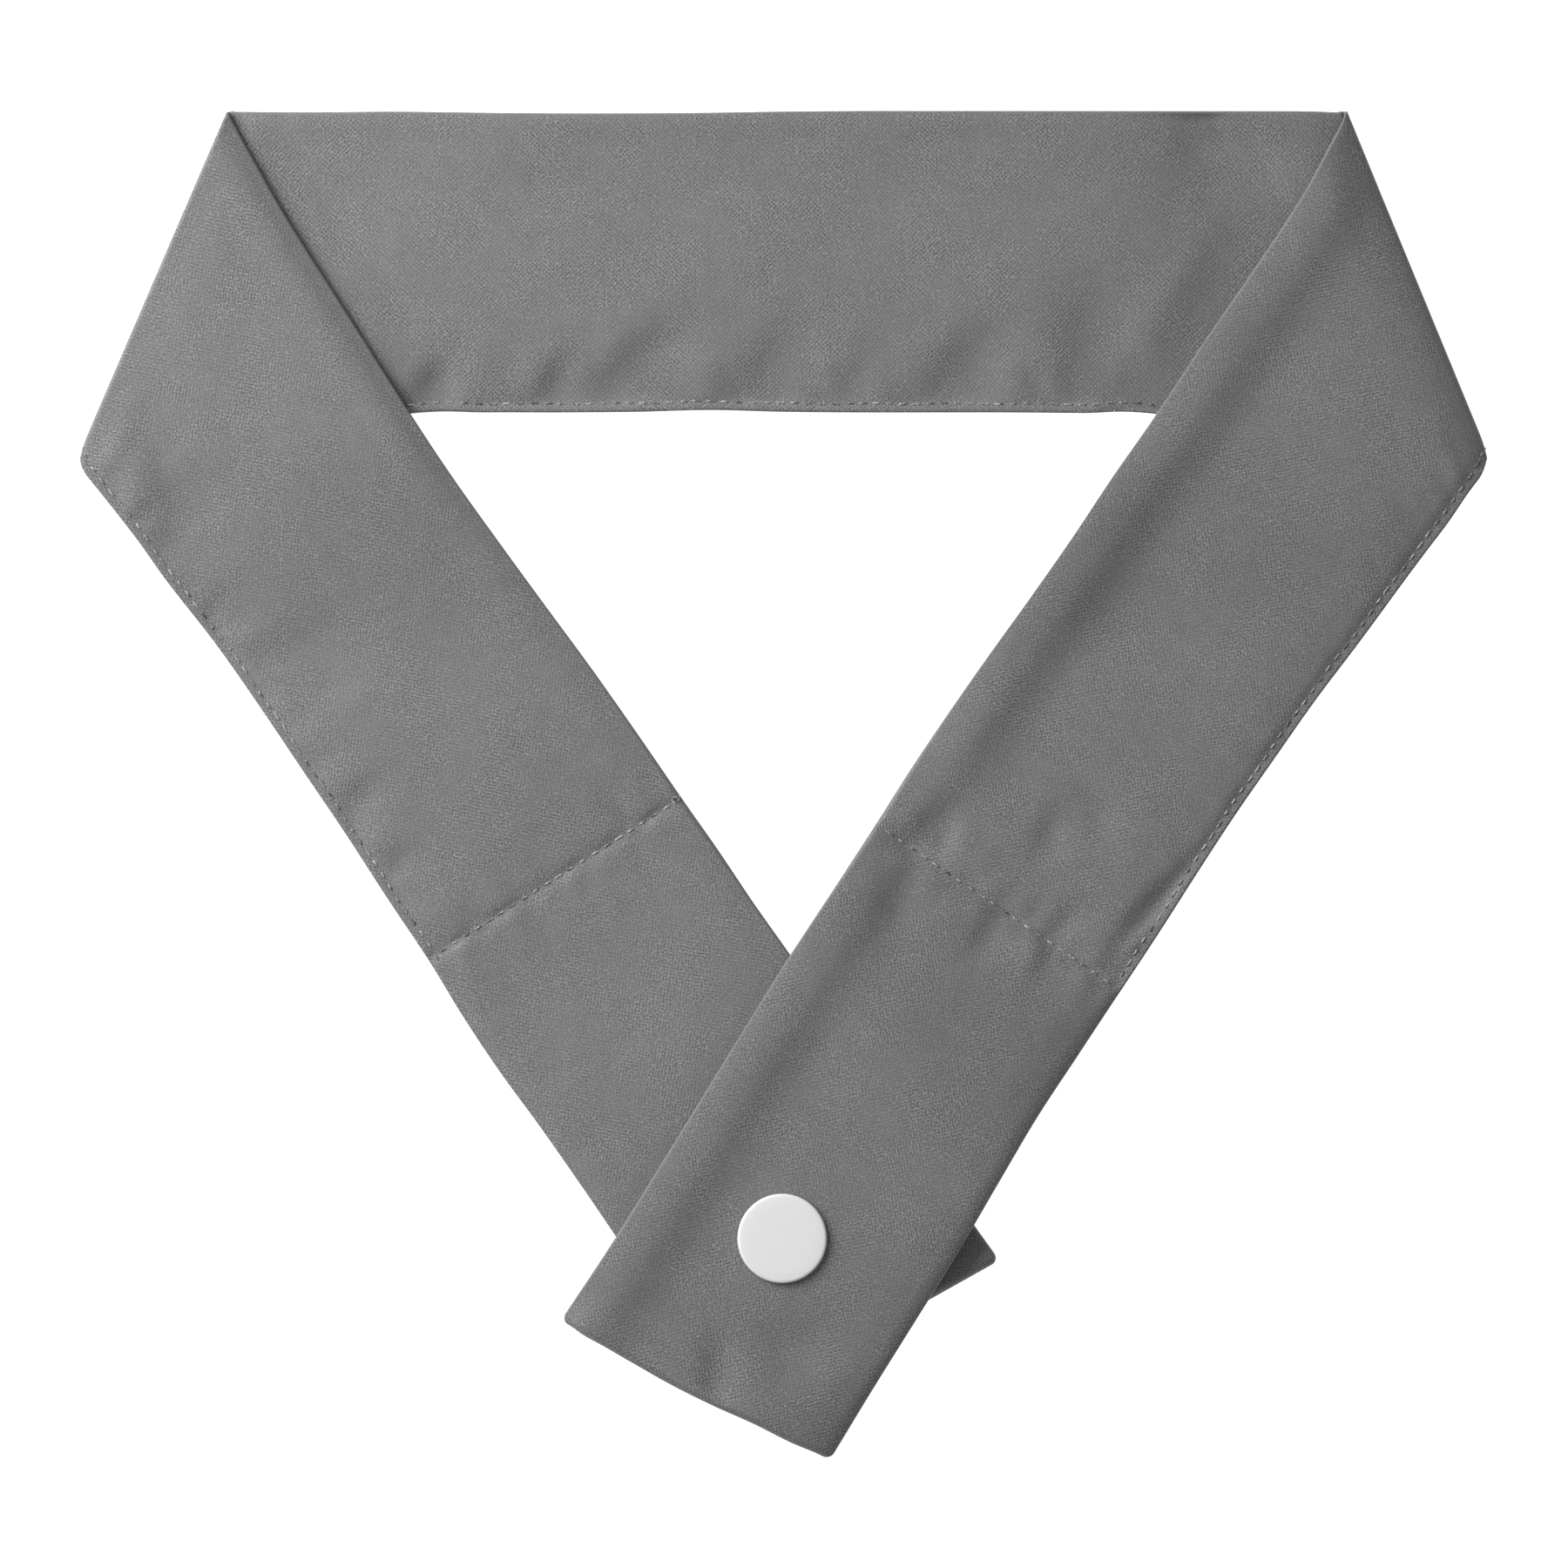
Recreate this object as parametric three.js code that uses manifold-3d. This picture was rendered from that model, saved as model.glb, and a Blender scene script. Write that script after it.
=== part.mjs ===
// A cooling neck wrap, lying flat with its two tails snapped together.
//
// One long strip of polyester is folded lengthwise into a flat tube, the sleeve. The folded edge of the
// cloth is the upper edge of the back band and the inner edge of both legs. The other long edge is edge
// stitched between two cross seams, so it is a slit between two lips here. Past the cross seams the tails
// were sewn inside out and are closed. At each upper corner the band rolls over a slanting fold and comes
// back as a leg that lies on the band. The right leg lies on the left leg, and a plastic snap holds the two
// tails.
//
// Millimetres. +X is right, +Y is up as the wrap is looked at from above, +Z is up from the table.

import * as THREE from 'three';
import { mergeVertices } from 'three/addons/utils/BufferGeometryUtils.js';
import Module from 'manifold-3d';

const wasm = await Module();
wasm.setup();

// Cloth
const WALL = 1.0;            // one ply of the sleeve
const SLIT = 0.3;            // between the two lips of the stitched edge, and the least hollow anywhere
const ROLL_PUFF = 0.35;      // how much each ply stands off at the soft folded edge
const BODY_PUFF = 0.15;      // how much each ply stands off in the middle of the strap
const GAP = 0.3;             // between things that touch
const THICKEST = 2 * (WALL + SLIT / 2 + ROLL_PUFF);
const LAYER = THICKEST + GAP;

// Snap
const SNAP = new THREE.Vector2(-0.3, -76.1);
const CAP_RADIUS = 7.5;
const CAP_HEIGHT = 1.9;
const BACK_CAP_HEIGHT = 1.2;
const RIM_ROUND = 0.6;
const POST_RADIUS = 2.1;
const HOLE_RADIUS = 2.5;
const COUPLING_RADIUS = 5.4;
const COUPLING_WAIST = 4.2;
const COUPLING_HEIGHT = 2.0;
const SNAP_PUFF = 0.1;       // what is left of the strap's puff where the snap clamps it
const CLAMPED = 2 * (WALL + SLIT / 2 + SNAP_PUFF * BODY_PUFF);
const ROUND_SEGMENTS = 36;

// Drape
const EDGE_CLEAR = 1.2;      // a leg keeps its height this far past the edge that it lies on
const DROOP = 40;            // and is down on the table this far past it
const CAP_CLEAR = 4.5;       // along its leg, the cloth is level this far past the snap's caps
const CAP_SPREAD = 55;       // and down again this far past them

// Each row is a line straight across the strap: where it meets the folded edge and the stitched edge, how
// much of the puff the strap has there, and how many steps lead to the next row. The rows run from the
// hidden end of the left tail round to the end of the right tail.
const LEFT_LEG = [
  { at: 'end of the tail', foldX: 35.5, foldY: -79.7, seamX: -8.3, seamY: -103.5, puff: 0.2, steps: 5 },
  { at: 'snap', foldX: 22.7, foldY: -60.5, seamX: -18.9, seamY: -88.3, puff: SNAP_PUFF, steps: 8 },
  { at: 'crossing', foldX: 1.2, foldY: -28.5, seamX: -41.2, seamY: -57.2, puff: 0.7, steps: 4 },
  { at: 'cross seam', foldX: -17.2, foldY: -2.4, seamX: -59.8, seamY: -29.4, puff: 0.0, steps: 4 },
  { at: 'middle', foldX: -40.1, foldY: 29.9, seamX: -80.7, seamY: 2.0, puff: 1.0, steps: 5 },
  { at: 'below the band', foldX: -62.9, foldY: 62.4, seamX: -103.5, seamY: 33.7, puff: 0.9, steps: 7 },
  { at: 'corner fold', foldX: -93.3, foldY: 112.4, seamX: -117.5, seamY: 54.4, puff: 0.6, steps: 1 },
];
const BAND = [
  { at: 'left corner fold', foldX: -93.3, foldY: 112.4, seamX: -117.5, seamY: 54.4, puff: 0.6, steps: 6 },
  { at: 'left leg', foldX: -65.1, foldY: 112.6, seamX: -62.9, seamY: 62.3, puff: 0.8, steps: 4 },
  { at: 'nape', foldX: 0, foldY: 112.6, seamX: 0, seamY: 62.6, puff: 1.0, steps: 4 },
  { at: 'right leg', foldX: 65.1, foldY: 112.9, seamX: 62.1, seamY: 62.2, puff: 0.8, steps: 6 },
  { at: 'right corner fold', foldX: 94.3, foldY: 112.6, seamX: 117.8, seamY: 54.1, puff: 0.6, steps: 1 },
];
const RIGHT_LEG = [
  { at: 'corner fold', foldX: 94.3, foldY: 112.6, seamX: 117.8, seamY: 54.1, puff: 0.6, steps: 7 },
  { at: 'below the band', foldX: 62.3, foldY: 62.0, seamX: 104.1, seamY: 33.9, puff: 1.0, steps: 5 },
  { at: 'middle', foldX: 41.4, foldY: 30.7, seamX: 82.2, seamY: 4.1, puff: 1.2, steps: 4 },
  { at: 'cross seam', foldX: 15.4, foldY: -6.9, seamX: 56.6, seamY: -34.5, puff: 0.0, steps: 5 },
  { at: 'crossing', foldX: 1.2, foldY: -28.5, seamX: 42.4, seamY: -56.0, puff: 0.8, steps: 8 },
  { at: 'snap', foldX: -20.6, foldY: -63.5, seamX: 21.6, seamY: -90.6, puff: SNAP_PUFF, steps: 6 },
  { at: 'end of the tail', foldX: -36.8, foldY: -89.6, seamX: 7.7, seamY: -112.7, puff: 0.2, steps: 1 },
];
const CROSS_SEAM_ROW = 3;    // of either leg
const ROLL_STEPS = 6;
const CORNER_ROUND = 1.4;    // the stitched edge pulls in this much as it goes round the roll

// The strap's cross section: a row for each point from the folded edge to the stitched edge, with the share
// of the roll's and of the body's puff that the plies have there.
const ACROSS = [
  { across: 0.0, roll: 1.0, body: 0.0 },
  { across: 0.12, roll: 0.8, body: 0.1 },
  { across: 0.27, roll: 0.1, body: 0.3 },
  { across: 0.42, roll: 0.0, body: 0.8 },
  { across: 0.58, roll: 0.0, body: 1.0 },
  { across: 0.73, roll: 0.0, body: 0.9 },
  { across: 0.88, roll: 0.0, body: 0.4 },
  { across: 1.0, roll: 0.0, body: 0.0 },
];
const FOLD_EDGE = ACROSS[0];
const BODY = ACROSS[4];
const EDGE_ARC_STEPS = 4;    // the round of the folded edge, from one ply to the other

const UP = new THREE.Vector3(0, 0, 1);
const DOWN = new THREE.Vector3(0, 0, -1);

function smooth(value) {
  return THREE.MathUtils.smoothstep(value, 0, 1);
}

// 1 up to `full` past an edge, falling to 0 at `spread` past it.
function fade(distancePast, full, spread) {
  return 1 - smooth((distancePast - full) / (spread - full));
}

function edgePoint(row, edge) {
  if (edge === 'fold') return new THREE.Vector3(row.foldX, row.foldY, 0);
  return new THREE.Vector3(row.seamX, row.seamY, 0);
}

// How far a place in plan lies past the straight line from a to b, on the line's right-hand side.
function pastLine(place, a, b) {
  const along = new THREE.Vector2().subVectors(b, a).normalize();
  return (place.x - a.x) * along.y - (place.y - a.y) * along.x;
}

// The lower edge of the back band, which bends down a little under each leg.
function pastBand(place) {
  const [cornerRow, legRow] = place.x < 0 ? [BAND[0], BAND[1]] : [BAND.at(-1), BAND.at(-2)];
  const corner = edgePoint(cornerRow, 'seam');
  const leg = edgePoint(legRow, 'seam');
  const share = THREE.MathUtils.clamp((place.x - leg.x) / (corner.x - leg.x), 0, 1);
  return THREE.MathUtils.lerp(leg.y, corner.y, share) - place.y;
}

// The left tail, which the right tail lies on.
function pastLeftTail(place) {
  const end = LEFT_LEG[0];
  const start = LEFT_LEG[CROSS_SEAM_ROW];
  const pastFold = pastLine(place, edgePoint(end, 'fold'), edgePoint(start, 'fold'));
  const pastSeam = pastLine(place, edgePoint(start, 'seam'), edgePoint(end, 'seam'));
  const pastEnd = pastLine(place, edgePoint(end, 'seam'), edgePoint(end, 'fold'));
  return Math.max(pastFold, pastSeam, pastEnd);
}

// The share of its rise to the snap that a leg has at a place. It rises along its length, level across.
function riseToSnap(place, leg) {
  const end = leg.find((row) => row.at === 'end of the tail');
  const along = edgePoint(end, 'fold').sub(edgePoint(leg[CROSS_SEAM_ROW], 'fold')).normalize();
  const fromSnap = Math.abs((place.x - SNAP.x) * along.x + (place.y - SNAP.y) * along.y);
  return fade(fromSnap - CAP_RADIUS, CAP_CLEAR, CAP_SPREAD);
}

// Height of a leg's underside above the table.
function overBand(place) {
  return LAYER * fade(pastBand(place), EDGE_CLEAR, DROOP);
}

function overBackCap(place) {
  return (BACK_CAP_HEIGHT + GAP) * riseToSnap(place, LEFT_LEG);
}

function leftLegHeight(place) {
  return overBand(place) + overBackCap(place);
}

function rightLegHeight(place) {
  const overCoupling = (CLAMPED + COUPLING_HEIGHT + 2 * GAP - LAYER) * riseToSnap(place, RIGHT_LEG);
  const overLeftTail = (LAYER + overBackCap(place)) * fade(pastLeftTail(place), EDGE_CLEAR, DROOP);
  return overBand(place) + overCoupling + overLeftTail;
}

// Half the strap's thickness at a point across it.
function halfThickness(point, puff) {
  return WALL + SLIT / 2 + puff * (ROLL_PUFF * point.roll + BODY_PUFF * point.body);
}

// One cross section. `middle(across, half)` gives the middle of a strap of that half thickness, and `face`
// the way its outer face looks. The outline runs from the outer face's lip to the folded edge, round it,
// and back to the inner face's lip, for the outside skin and for the hollow.
function crossSection({ middle, face, puff, closed }) {
  const outside = [];
  const hollow = [];
  const bodyHalf = halfThickness(BODY, puff);
  const width = middle(0, bodyHalf).sub(middle(1, bodyHalf));
  const length = width.length();
  const outward = width.normalize();
  const edgeHalf = halfThickness(FOLD_EDGE, puff);
  const place = (point, side, skinHalf, inset) => {
    const share = (edgeHalf + point.across * (length - edgeHalf - inset)) / length;
    const half = halfThickness(point, puff);
    return middle(share, half).addScaledVector(face, side * (half - skinHalf));
  };
  const lipInset = closed ? WALL : 0;
  for (const point of ACROSS.slice(1).reverse()) {
    outside.push(place(point, 1, 0, 0));
    hollow.push(place(point, 1, WALL, lipInset));
  }
  const centre = middle(edgeHalf / length, edgeHalf);
  for (let i = 0; i <= EDGE_ARC_STEPS; i += 1) {
    const angle = Math.PI * (0.5 - i / EDGE_ARC_STEPS);
    const spoke = outward.clone().multiplyScalar(Math.cos(angle)).addScaledVector(face, Math.sin(angle));
    outside.push(centre.clone().addScaledVector(spoke, edgeHalf));
    hollow.push(centre.clone().addScaledVector(spoke, edgeHalf - WALL));
  }
  for (const point of ACROSS.slice(1)) {
    outside.push(place(point, -1, 0, 0));
    hollow.push(place(point, -1, WALL, lipInset));
  }
  return { outside, hollow, closed };
}

// The sections of a flat stretch: the band with its outer face down, or a leg with its outer face up.
function flatSections(rows, height, face, isClosed) {
  const foldEdge = new THREE.CatmullRomCurve3(rows.map((row) => row.fold));
  const seamEdge = new THREE.CatmullRomCurve3(rows.map((row) => row.seam));
  const sections = [];
  rows.forEach((row, index) => {
    const last = index === rows.length - 1;
    const steps = last ? 1 : row.steps;
    for (let step = 0; step < steps; step += 1) {
      const along = (index + step / steps) / (rows.length - 1);
      const fold = foldEdge.getPoint(along);
      const seam = seamEdge.getPoint(along);
      const nextPuff = last ? row.puff : rows[index + 1].puff;
      const puff = THREE.MathUtils.lerp(row.puff, nextPuff, smooth(step / steps));
      const middle = (across, half) => {
        const place = fold.clone().lerp(seam, across);
        return place.setZ(height(place) + half);
      };
      sections.push(crossSection({ middle, face, puff, closed: isClosed(index + step / steps) }));
    }
  });
  return sections;
}

// A corner fold is a half turn round a slanting axis, which lies far enough inside the outline for the roll
// to reach the outline. `foldAxis` gives that axis for a strap of a given half thickness.
function foldAxis(row, half) {
  const fold = edgePoint(row, 'fold');
  const seam = edgePoint(row, 'seam');
  const along = seam.clone().sub(fold).normalize();
  const outward = new THREE.Vector3(-along.y, along.x, 0).multiplyScalar(Math.sign(row.foldX));
  const inset = -(LAYER / 2 + half);
  return { fold: fold.addScaledVector(outward, inset), seam: seam.addScaledVector(outward, inset), outward };
}

function rollSections(row, fromTop) {
  const sections = [];
  for (let i = 1; i < ROLL_STEPS; i += 1) {
    const turn = Math.PI * (0.5 - i / ROLL_STEPS) * (fromTop ? 1 : -1);
    const { outward } = foldAxis(row, 0);
    const radial = outward.clone().multiplyScalar(Math.cos(turn)).addScaledVector(UP, Math.sin(turn));
    const middle = (across, half) => {
      const axis = foldAxis(row, half);
      const pulledIn = CORNER_ROUND * Math.cos(turn) / axis.fold.distanceTo(axis.seam);
      const place = axis.fold.clone().lerp(axis.seam, across * (1 - pulledIn));
      return place.setZ(half + LAYER / 2).addScaledVector(radial, LAYER / 2);
    };
    sections.push(crossSection({ middle, face: radial, puff: row.puff, closed: false }));
  }
  return sections;
}

// A row that ends on a corner fold ends on its axis.
function withEdges(rows) {
  return rows.map((row) => {
    if (row.at.endsWith('corner fold')) return { ...row, ...foldAxis(row, halfThickness(BODY, row.puff)) };
    return { ...row, fold: edgePoint(row, 'fold'), seam: edgePoint(row, 'seam') };
  });
}

function sleeveSections() {
  const left = withEdges(LEFT_LEG);
  const band = withEdges(BAND);
  const right = withEdges(RIGHT_LEG);
  return [
    ...flatSections(left, leftLegHeight, UP, (row) => row <= CROSS_SEAM_ROW),
    ...rollSections(LEFT_LEG.at(-1), true),
    ...flatSections(band, () => 0, DOWN, () => false),
    ...rollSections(BAND.at(-1), false),
    ...flatSections(right, rightLegHeight, UP, (row) => row >= CROSS_SEAM_ROW),
  ];
}

// Skins the sections into one closed body: the outside, the hollow, the two lips of the slit and the closed
// tail ends.
function sleeveGeometry(sections) {
  const positions = [];
  const triangles = [];
  const count = sections[0].outside.length;
  const add = (points) => points.map((p) => positions.push(p.x, p.y, p.z) / 3 - 1);
  const outside = sections.map((section) => add(section.outside));
  const hollow = sections.map((section) => add(section.hollow));
  const quad = (a, b, c, d) => triangles.push(a, b, c, a, c, d);
  // The two plies are cut into triangles along the same diagonals, so that the hollow keeps its height in a
  // bend.
  const skin = (here, next, flip) => {
    for (let j = 0; j < count - 1; j += 1) {
      const corners = [here[j], here[j + 1], next[j + 1], next[j]];
      if (j >= (count - 1) / 2) corners.push(corners.shift());
      quad(...(flip ? corners.reverse() : corners));
    }
  };
  const endCap = (ring, flip) => {
    for (let j = 0; j < (count - 1) / 2; j += 1) {
      const corners = [...new Set([ring[j], ring[count - 1 - j], ring[count - 2 - j], ring[j + 1]])];
      if (flip) corners.reverse();
      if (corners.length === 4) quad(...corners);
      else triangles.push(...corners);
    }
  };
  const slitEnd = (i, flip) => {
    const corners = [outside[i][count - 1], outside[i][0], hollow[i][0], hollow[i][count - 1]];
    quad(...(flip ? corners.reverse() : corners));
  };
  const last = sections.length - 1;
  const isShut = (i) => sections[i].closed && sections[i + 1].closed;
  for (let i = 0; i < last; i += 1) {
    const hasHollow = i > 0 && i + 1 < last;
    skin(outside[i], outside[i + 1], false);
    if (hasHollow) skin(hollow[i], hollow[i + 1], true);
    if (isShut(i)) {
      quad(outside[i][count - 1], outside[i][0], outside[i + 1][0], outside[i + 1][count - 1]);
      if (hasHollow) quad(hollow[i + 1][count - 1], hollow[i + 1][0], hollow[i][0], hollow[i][count - 1]);
    } else {
      quad(hollow[i][0], outside[i][0], outside[i + 1][0], hollow[i + 1][0]);
      quad(outside[i][count - 1], hollow[i][count - 1], hollow[i + 1][count - 1], outside[i + 1][count - 1]);
    }
    if (i > 0 && isShut(i - 1) !== isShut(i)) slitEnd(i, isShut(i));
  }
  endCap(outside[0], false);
  endCap(outside[last], true);
  endCap(hollow[1], true);
  endCap(hollow[last - 1], false);
  const geometry = new THREE.BufferGeometry();
  geometry.setAttribute('position', new THREE.Float32BufferAttribute(positions, 3));
  geometry.setIndex(triangles);
  return geometry;
}

function toManifold(geometry) {
  const bare = geometry.clone();
  bare.deleteAttribute('normal');
  bare.deleteAttribute('uv');
  const merged = mergeVertices(bare, 1e-4);
  return new wasm.Manifold(new wasm.Mesh({
    numProp: 3,
    vertProperties: new Float32Array(merged.attributes.position.array),
    triVerts: new Uint32Array(merged.index.array),
  }));
}

function fromManifold(solid) {
  const mesh = solid.getMesh();
  const geometry = new THREE.BufferGeometry();
  geometry.setAttribute('position', new THREE.Float32BufferAttribute(mesh.vertProperties, 3));
  geometry.setIndex([...mesh.triVerts]);
  geometry.computeVertexNormals();
  return geometry;
}

// A turned piece standing on +Z, from pairs of radius and height that start and end on the axis.
function turned(profile) {
  const points = profile.map(([radius, height]) => new THREE.Vector2(radius, height));
  return new THREE.LatheGeometry(points, ROUND_SEGMENTS).rotateX(Math.PI / 2);
}

// Heights of the snap's pieces, from the table up.
const LEFT_TOP = BACK_CAP_HEIGHT + GAP + CLAMPED;
const COUPLING_BOTTOM = LEFT_TOP + GAP;
const COUPLING_TOP = COUPLING_BOTTOM + COUPLING_HEIGHT;

function makeSleeve() {
  const whole = toManifold(sleeveGeometry(sleeveSections()));
  const drill = turned([[0, 0], [HOLE_RADIUS, 0], [HOLE_RADIUS, 30], [0, 30]]);
  drill.translate(SNAP.x, SNAP.y, -5);
  return fromManifold(whole.subtract(toManifold(drill)));
}

function makeSnapCap(bottom, postBottom) {
  const top = bottom + CAP_HEIGHT;
  return turned([
    [0, postBottom],
    [POST_RADIUS, postBottom],
    [POST_RADIUS, bottom],
    [CAP_RADIUS - RIM_ROUND / 2, bottom],
    [CAP_RADIUS, bottom + RIM_ROUND],
    [CAP_RADIUS, top - 2 * RIM_ROUND],
    [CAP_RADIUS - RIM_ROUND / 2, top - RIM_ROUND / 2],
    [CAP_RADIUS - 2 * RIM_ROUND, top],
    [0, top],
  ]);
}

function makeSnapCoupling() {
  const flange = 0.7;
  return turned([
    [0, COUPLING_BOTTOM],
    [COUPLING_RADIUS, COUPLING_BOTTOM],
    [COUPLING_RADIUS, COUPLING_BOTTOM + flange],
    [COUPLING_WAIST, COUPLING_BOTTOM + flange],
    [COUPLING_WAIST, COUPLING_TOP - flange],
    [COUPLING_RADIUS, COUPLING_TOP - flange],
    [COUPLING_RADIUS, COUPLING_TOP],
    [0, COUPLING_TOP],
  ]);
}

function makeBackCap() {
  return turned([
    [0, 0],
    [CAP_RADIUS - RIM_ROUND, 0],
    [CAP_RADIUS, RIM_ROUND],
    [CAP_RADIUS, BACK_CAP_HEIGHT - RIM_ROUND / 2],
    [CAP_RADIUS - RIM_ROUND / 2, BACK_CAP_HEIGHT],
    [POST_RADIUS, BACK_CAP_HEIGHT],
    [POST_RADIUS, COUPLING_BOTTOM - GAP],
    [0, COUPLING_BOTTOM - GAP],
  ]);
}

const cloth = new THREE.MeshStandardMaterial({ name: 'polyester', color: 0x7c7c7c, roughness: 0.75 });
const plastic = new THREE.MeshStandardMaterial({ name: 'resin', color: 0xe8e8e8, roughness: 0.5 });

const neckWrap = new THREE.Group();

function addPiece(name, geometry, material, x = 0, y = 0) {
  const mesh = new THREE.Mesh(geometry, material);
  mesh.name = name;
  mesh.position.set(x, y, 0);
  neckWrap.add(mesh);
}

const capBottom = rightLegHeight(SNAP) + CLAMPED + GAP;
addPiece('sleeve', makeSleeve(), cloth);
addPiece('snap_cap', makeSnapCap(capBottom, COUPLING_TOP + GAP), plastic, SNAP.x, SNAP.y);
addPiece('snap_coupling', makeSnapCoupling(), plastic, SNAP.x, SNAP.y);
addPiece('snap_back_cap', makeBackCap(), plastic, SNAP.x, SNAP.y);

export default neckWrap;
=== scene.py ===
# %% [markdown]
# # A cooling neck wrap
# This is one long strip of grey polyester, folded lengthwise and stitched into a flat sleeve. It lies on a
# table with a fold at each upper corner, and a white resin snap holds its crossed tails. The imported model
# gives the hard pieces and the place of everything. The cloth is made again here, finer, where the plain
# cloth of the model lies.

# %% Load the model
import math

import bmesh
import bpy
import numpy as np
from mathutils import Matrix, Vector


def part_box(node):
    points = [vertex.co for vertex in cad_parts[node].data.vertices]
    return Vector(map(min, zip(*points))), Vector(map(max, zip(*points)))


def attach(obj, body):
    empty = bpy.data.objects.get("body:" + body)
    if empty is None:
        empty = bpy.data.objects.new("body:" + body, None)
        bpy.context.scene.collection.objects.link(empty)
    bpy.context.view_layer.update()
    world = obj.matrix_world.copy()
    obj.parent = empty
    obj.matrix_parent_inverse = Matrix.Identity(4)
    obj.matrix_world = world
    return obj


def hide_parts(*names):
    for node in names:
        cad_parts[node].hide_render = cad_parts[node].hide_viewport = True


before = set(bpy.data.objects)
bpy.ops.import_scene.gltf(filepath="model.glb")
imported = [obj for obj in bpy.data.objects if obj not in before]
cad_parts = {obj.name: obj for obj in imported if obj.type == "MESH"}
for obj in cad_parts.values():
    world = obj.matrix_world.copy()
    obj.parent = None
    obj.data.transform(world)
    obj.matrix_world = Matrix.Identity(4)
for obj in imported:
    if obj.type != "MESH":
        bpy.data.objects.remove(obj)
scene = bpy.context.scene
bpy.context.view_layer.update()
MM = 0.001


# %% [markdown]
# ## The edges of the strap
# The outline of a lying strap is easiest to hold as rows, each a line across the strap from its folded edge
# to its stitched edge. A curve with a bevel would also give a strap, but its width and its corners could not
# be set point by point. All lengths are millimetres, with +X to the right and +Y towards the back band.

# %% Rows of the left leg, from the hidden end of its tail up to the corner
# fold x, fold y, stitched x, stitched y, puff: how much air the strap holds there
LEFT_ROWS = np.array([
    (36.2, -80, -7.7, -104.6, 0.2),
    (29.1, -70, -13.5, -95.9, 0.15),
    (22.7, -60.4, -18.9, -88.4, 0.1),
    (15.5, -49.7, -26.6, -78.3, 0.3),
    (8.2, -39.2, -33.9, -67.7, 0.6),
    (1, -28.6, -41.2, -57.3, 0.8),
    (-5.2, -19.8, -47.8, -48.3, 0.7),
    (-11.1, -11, -54, -39, 0.4),
    (-17.2, -2.3, -59.8, -29.5, 0.1),
    (-24.7, 8.6, -66.8, -19, 0.6),
    (-32.3, 19.4, -73.6, -8.5, 0.9),
    (-40.1, 30, -80.7, 2, 1),
    (-47.9, 40.7, -87.9, 12.7, 1),
    (-55.6, 51.5, -95.4, 23.4, 1),
    (-62.9, 62.5, -103.4, 33.7, 0.9),
    (-73.2, 78.8, -108.3, 40.6, 0.8),
    (-83.6, 95.3, -113.4, 47.2, 0.7),
    (-93.5, 112.9, -118.9, 54, 0.6),
])

# %% Rows of the back band, from the left corner to the right one
BAND_ROWS = np.array([
    (-93.5, 112.9, -118.9, 54, 0.6),
    (-79.1, 112.8, -90.2, 58.3, 0.7),
    (-65.1, 112.9, -62.9, 62.2, 0.8),
    (-50, 112.7, -50, 62.4, 0.9),
    (-37.5, 112.6, -37.5, 62.4, 1),
    (-25, 112.6, -25, 62.5, 1),
    (-12.5, 112.7, -12.5, 62.8, 1),
    (0, 112.9, 0, 62.5, 1),
    (12.5, 113, 12.5, 62.4, 1),
    (25, 113, 25, 62.4, 1),
    (37.5, 113, 37.5, 62.4, 1),
    (50, 113, 50, 62.3, 0.9),
    (65.1, 113, 62.1, 62.2, 0.8),
    (79.6, 113, 90, 58.1, 0.7),
    (94.5, 113, 118.8, 54, 0.6),
])

# %% Rows of the right leg, from the corner down to the end of its tail
RIGHT_ROWS = np.array([
    (94.5, 113, 118.8, 54, 0.6),
    (87.3, 99.3, 114.8, 48.8, 0.8),
    (79.2, 86.9, 111.4, 43.8, 0.9),
    (70.6, 74.4, 107.7, 38.9, 1),
    (62.4, 62, 104, 33.9, 1),
    (55.2, 51.7, 96.7, 23.9, 1.1),
    (48.3, 41.3, 89.3, 14.1, 1.2),
    (41.1, 31, 82.2, 4, 1.2),
    (34.4, 21.7, 75.6, -5.5, 1.1),
    (27.9, 12.4, 69.2, -15.3, 0.9),
    (21.5, 2.9, 63, -25, 0.5),
    (15.4, -6.7, 56.6, -34.7, 0.1),
    (8.3, -17.6, 49.5, -45.4, 0.7),
    (1.2, -28.4, 42.4, -56.1, 0.9),
    (-6.1, -40.1, 35.5, -67.7, 1),
    (-13.3, -51.8, 28.7, -79.3, 0.95),
    (-20.5, -63.5, 21.6, -90.7, 0.9),
    (-28.6, -76.5, 14.7, -101.8, 0.85),
    (-37.5, -90, 7.7, -113.4, 0.8),
])
CROSS_SEAM_ROW = {"left": 8, "right": 11}
print(len(LEFT_ROWS) + len(BAND_ROWS) + len(RIGHT_ROWS), "rows")

# %% [markdown]
# ## Curves through the rows
# Two kinds of curve are enough. One passes through every row and is sampled every quarter of a millimetre.
# The other passes through the few knots of a profile, such as the height of the cloth from the fold to the
# stitches. Both give a point the slope between its neighbours, which keeps a bend free of corners.

# %% Curve helpers
STRAP_WIDTH = 50.0
FINE_STEP = 0.25


def blend(before, after, share):
    return (1 - share) * before + share * after


def hermite(before, after, slope_before, slope_after, share):
    """The smooth curve between two points with these slopes, at a share of the way."""
    rise = share * share * (3 - 2 * share)
    return (blend(before, after, rise)
            + slope_before * share * (1 - share) ** 2 - slope_after * share ** 2 * (1 - share))


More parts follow.
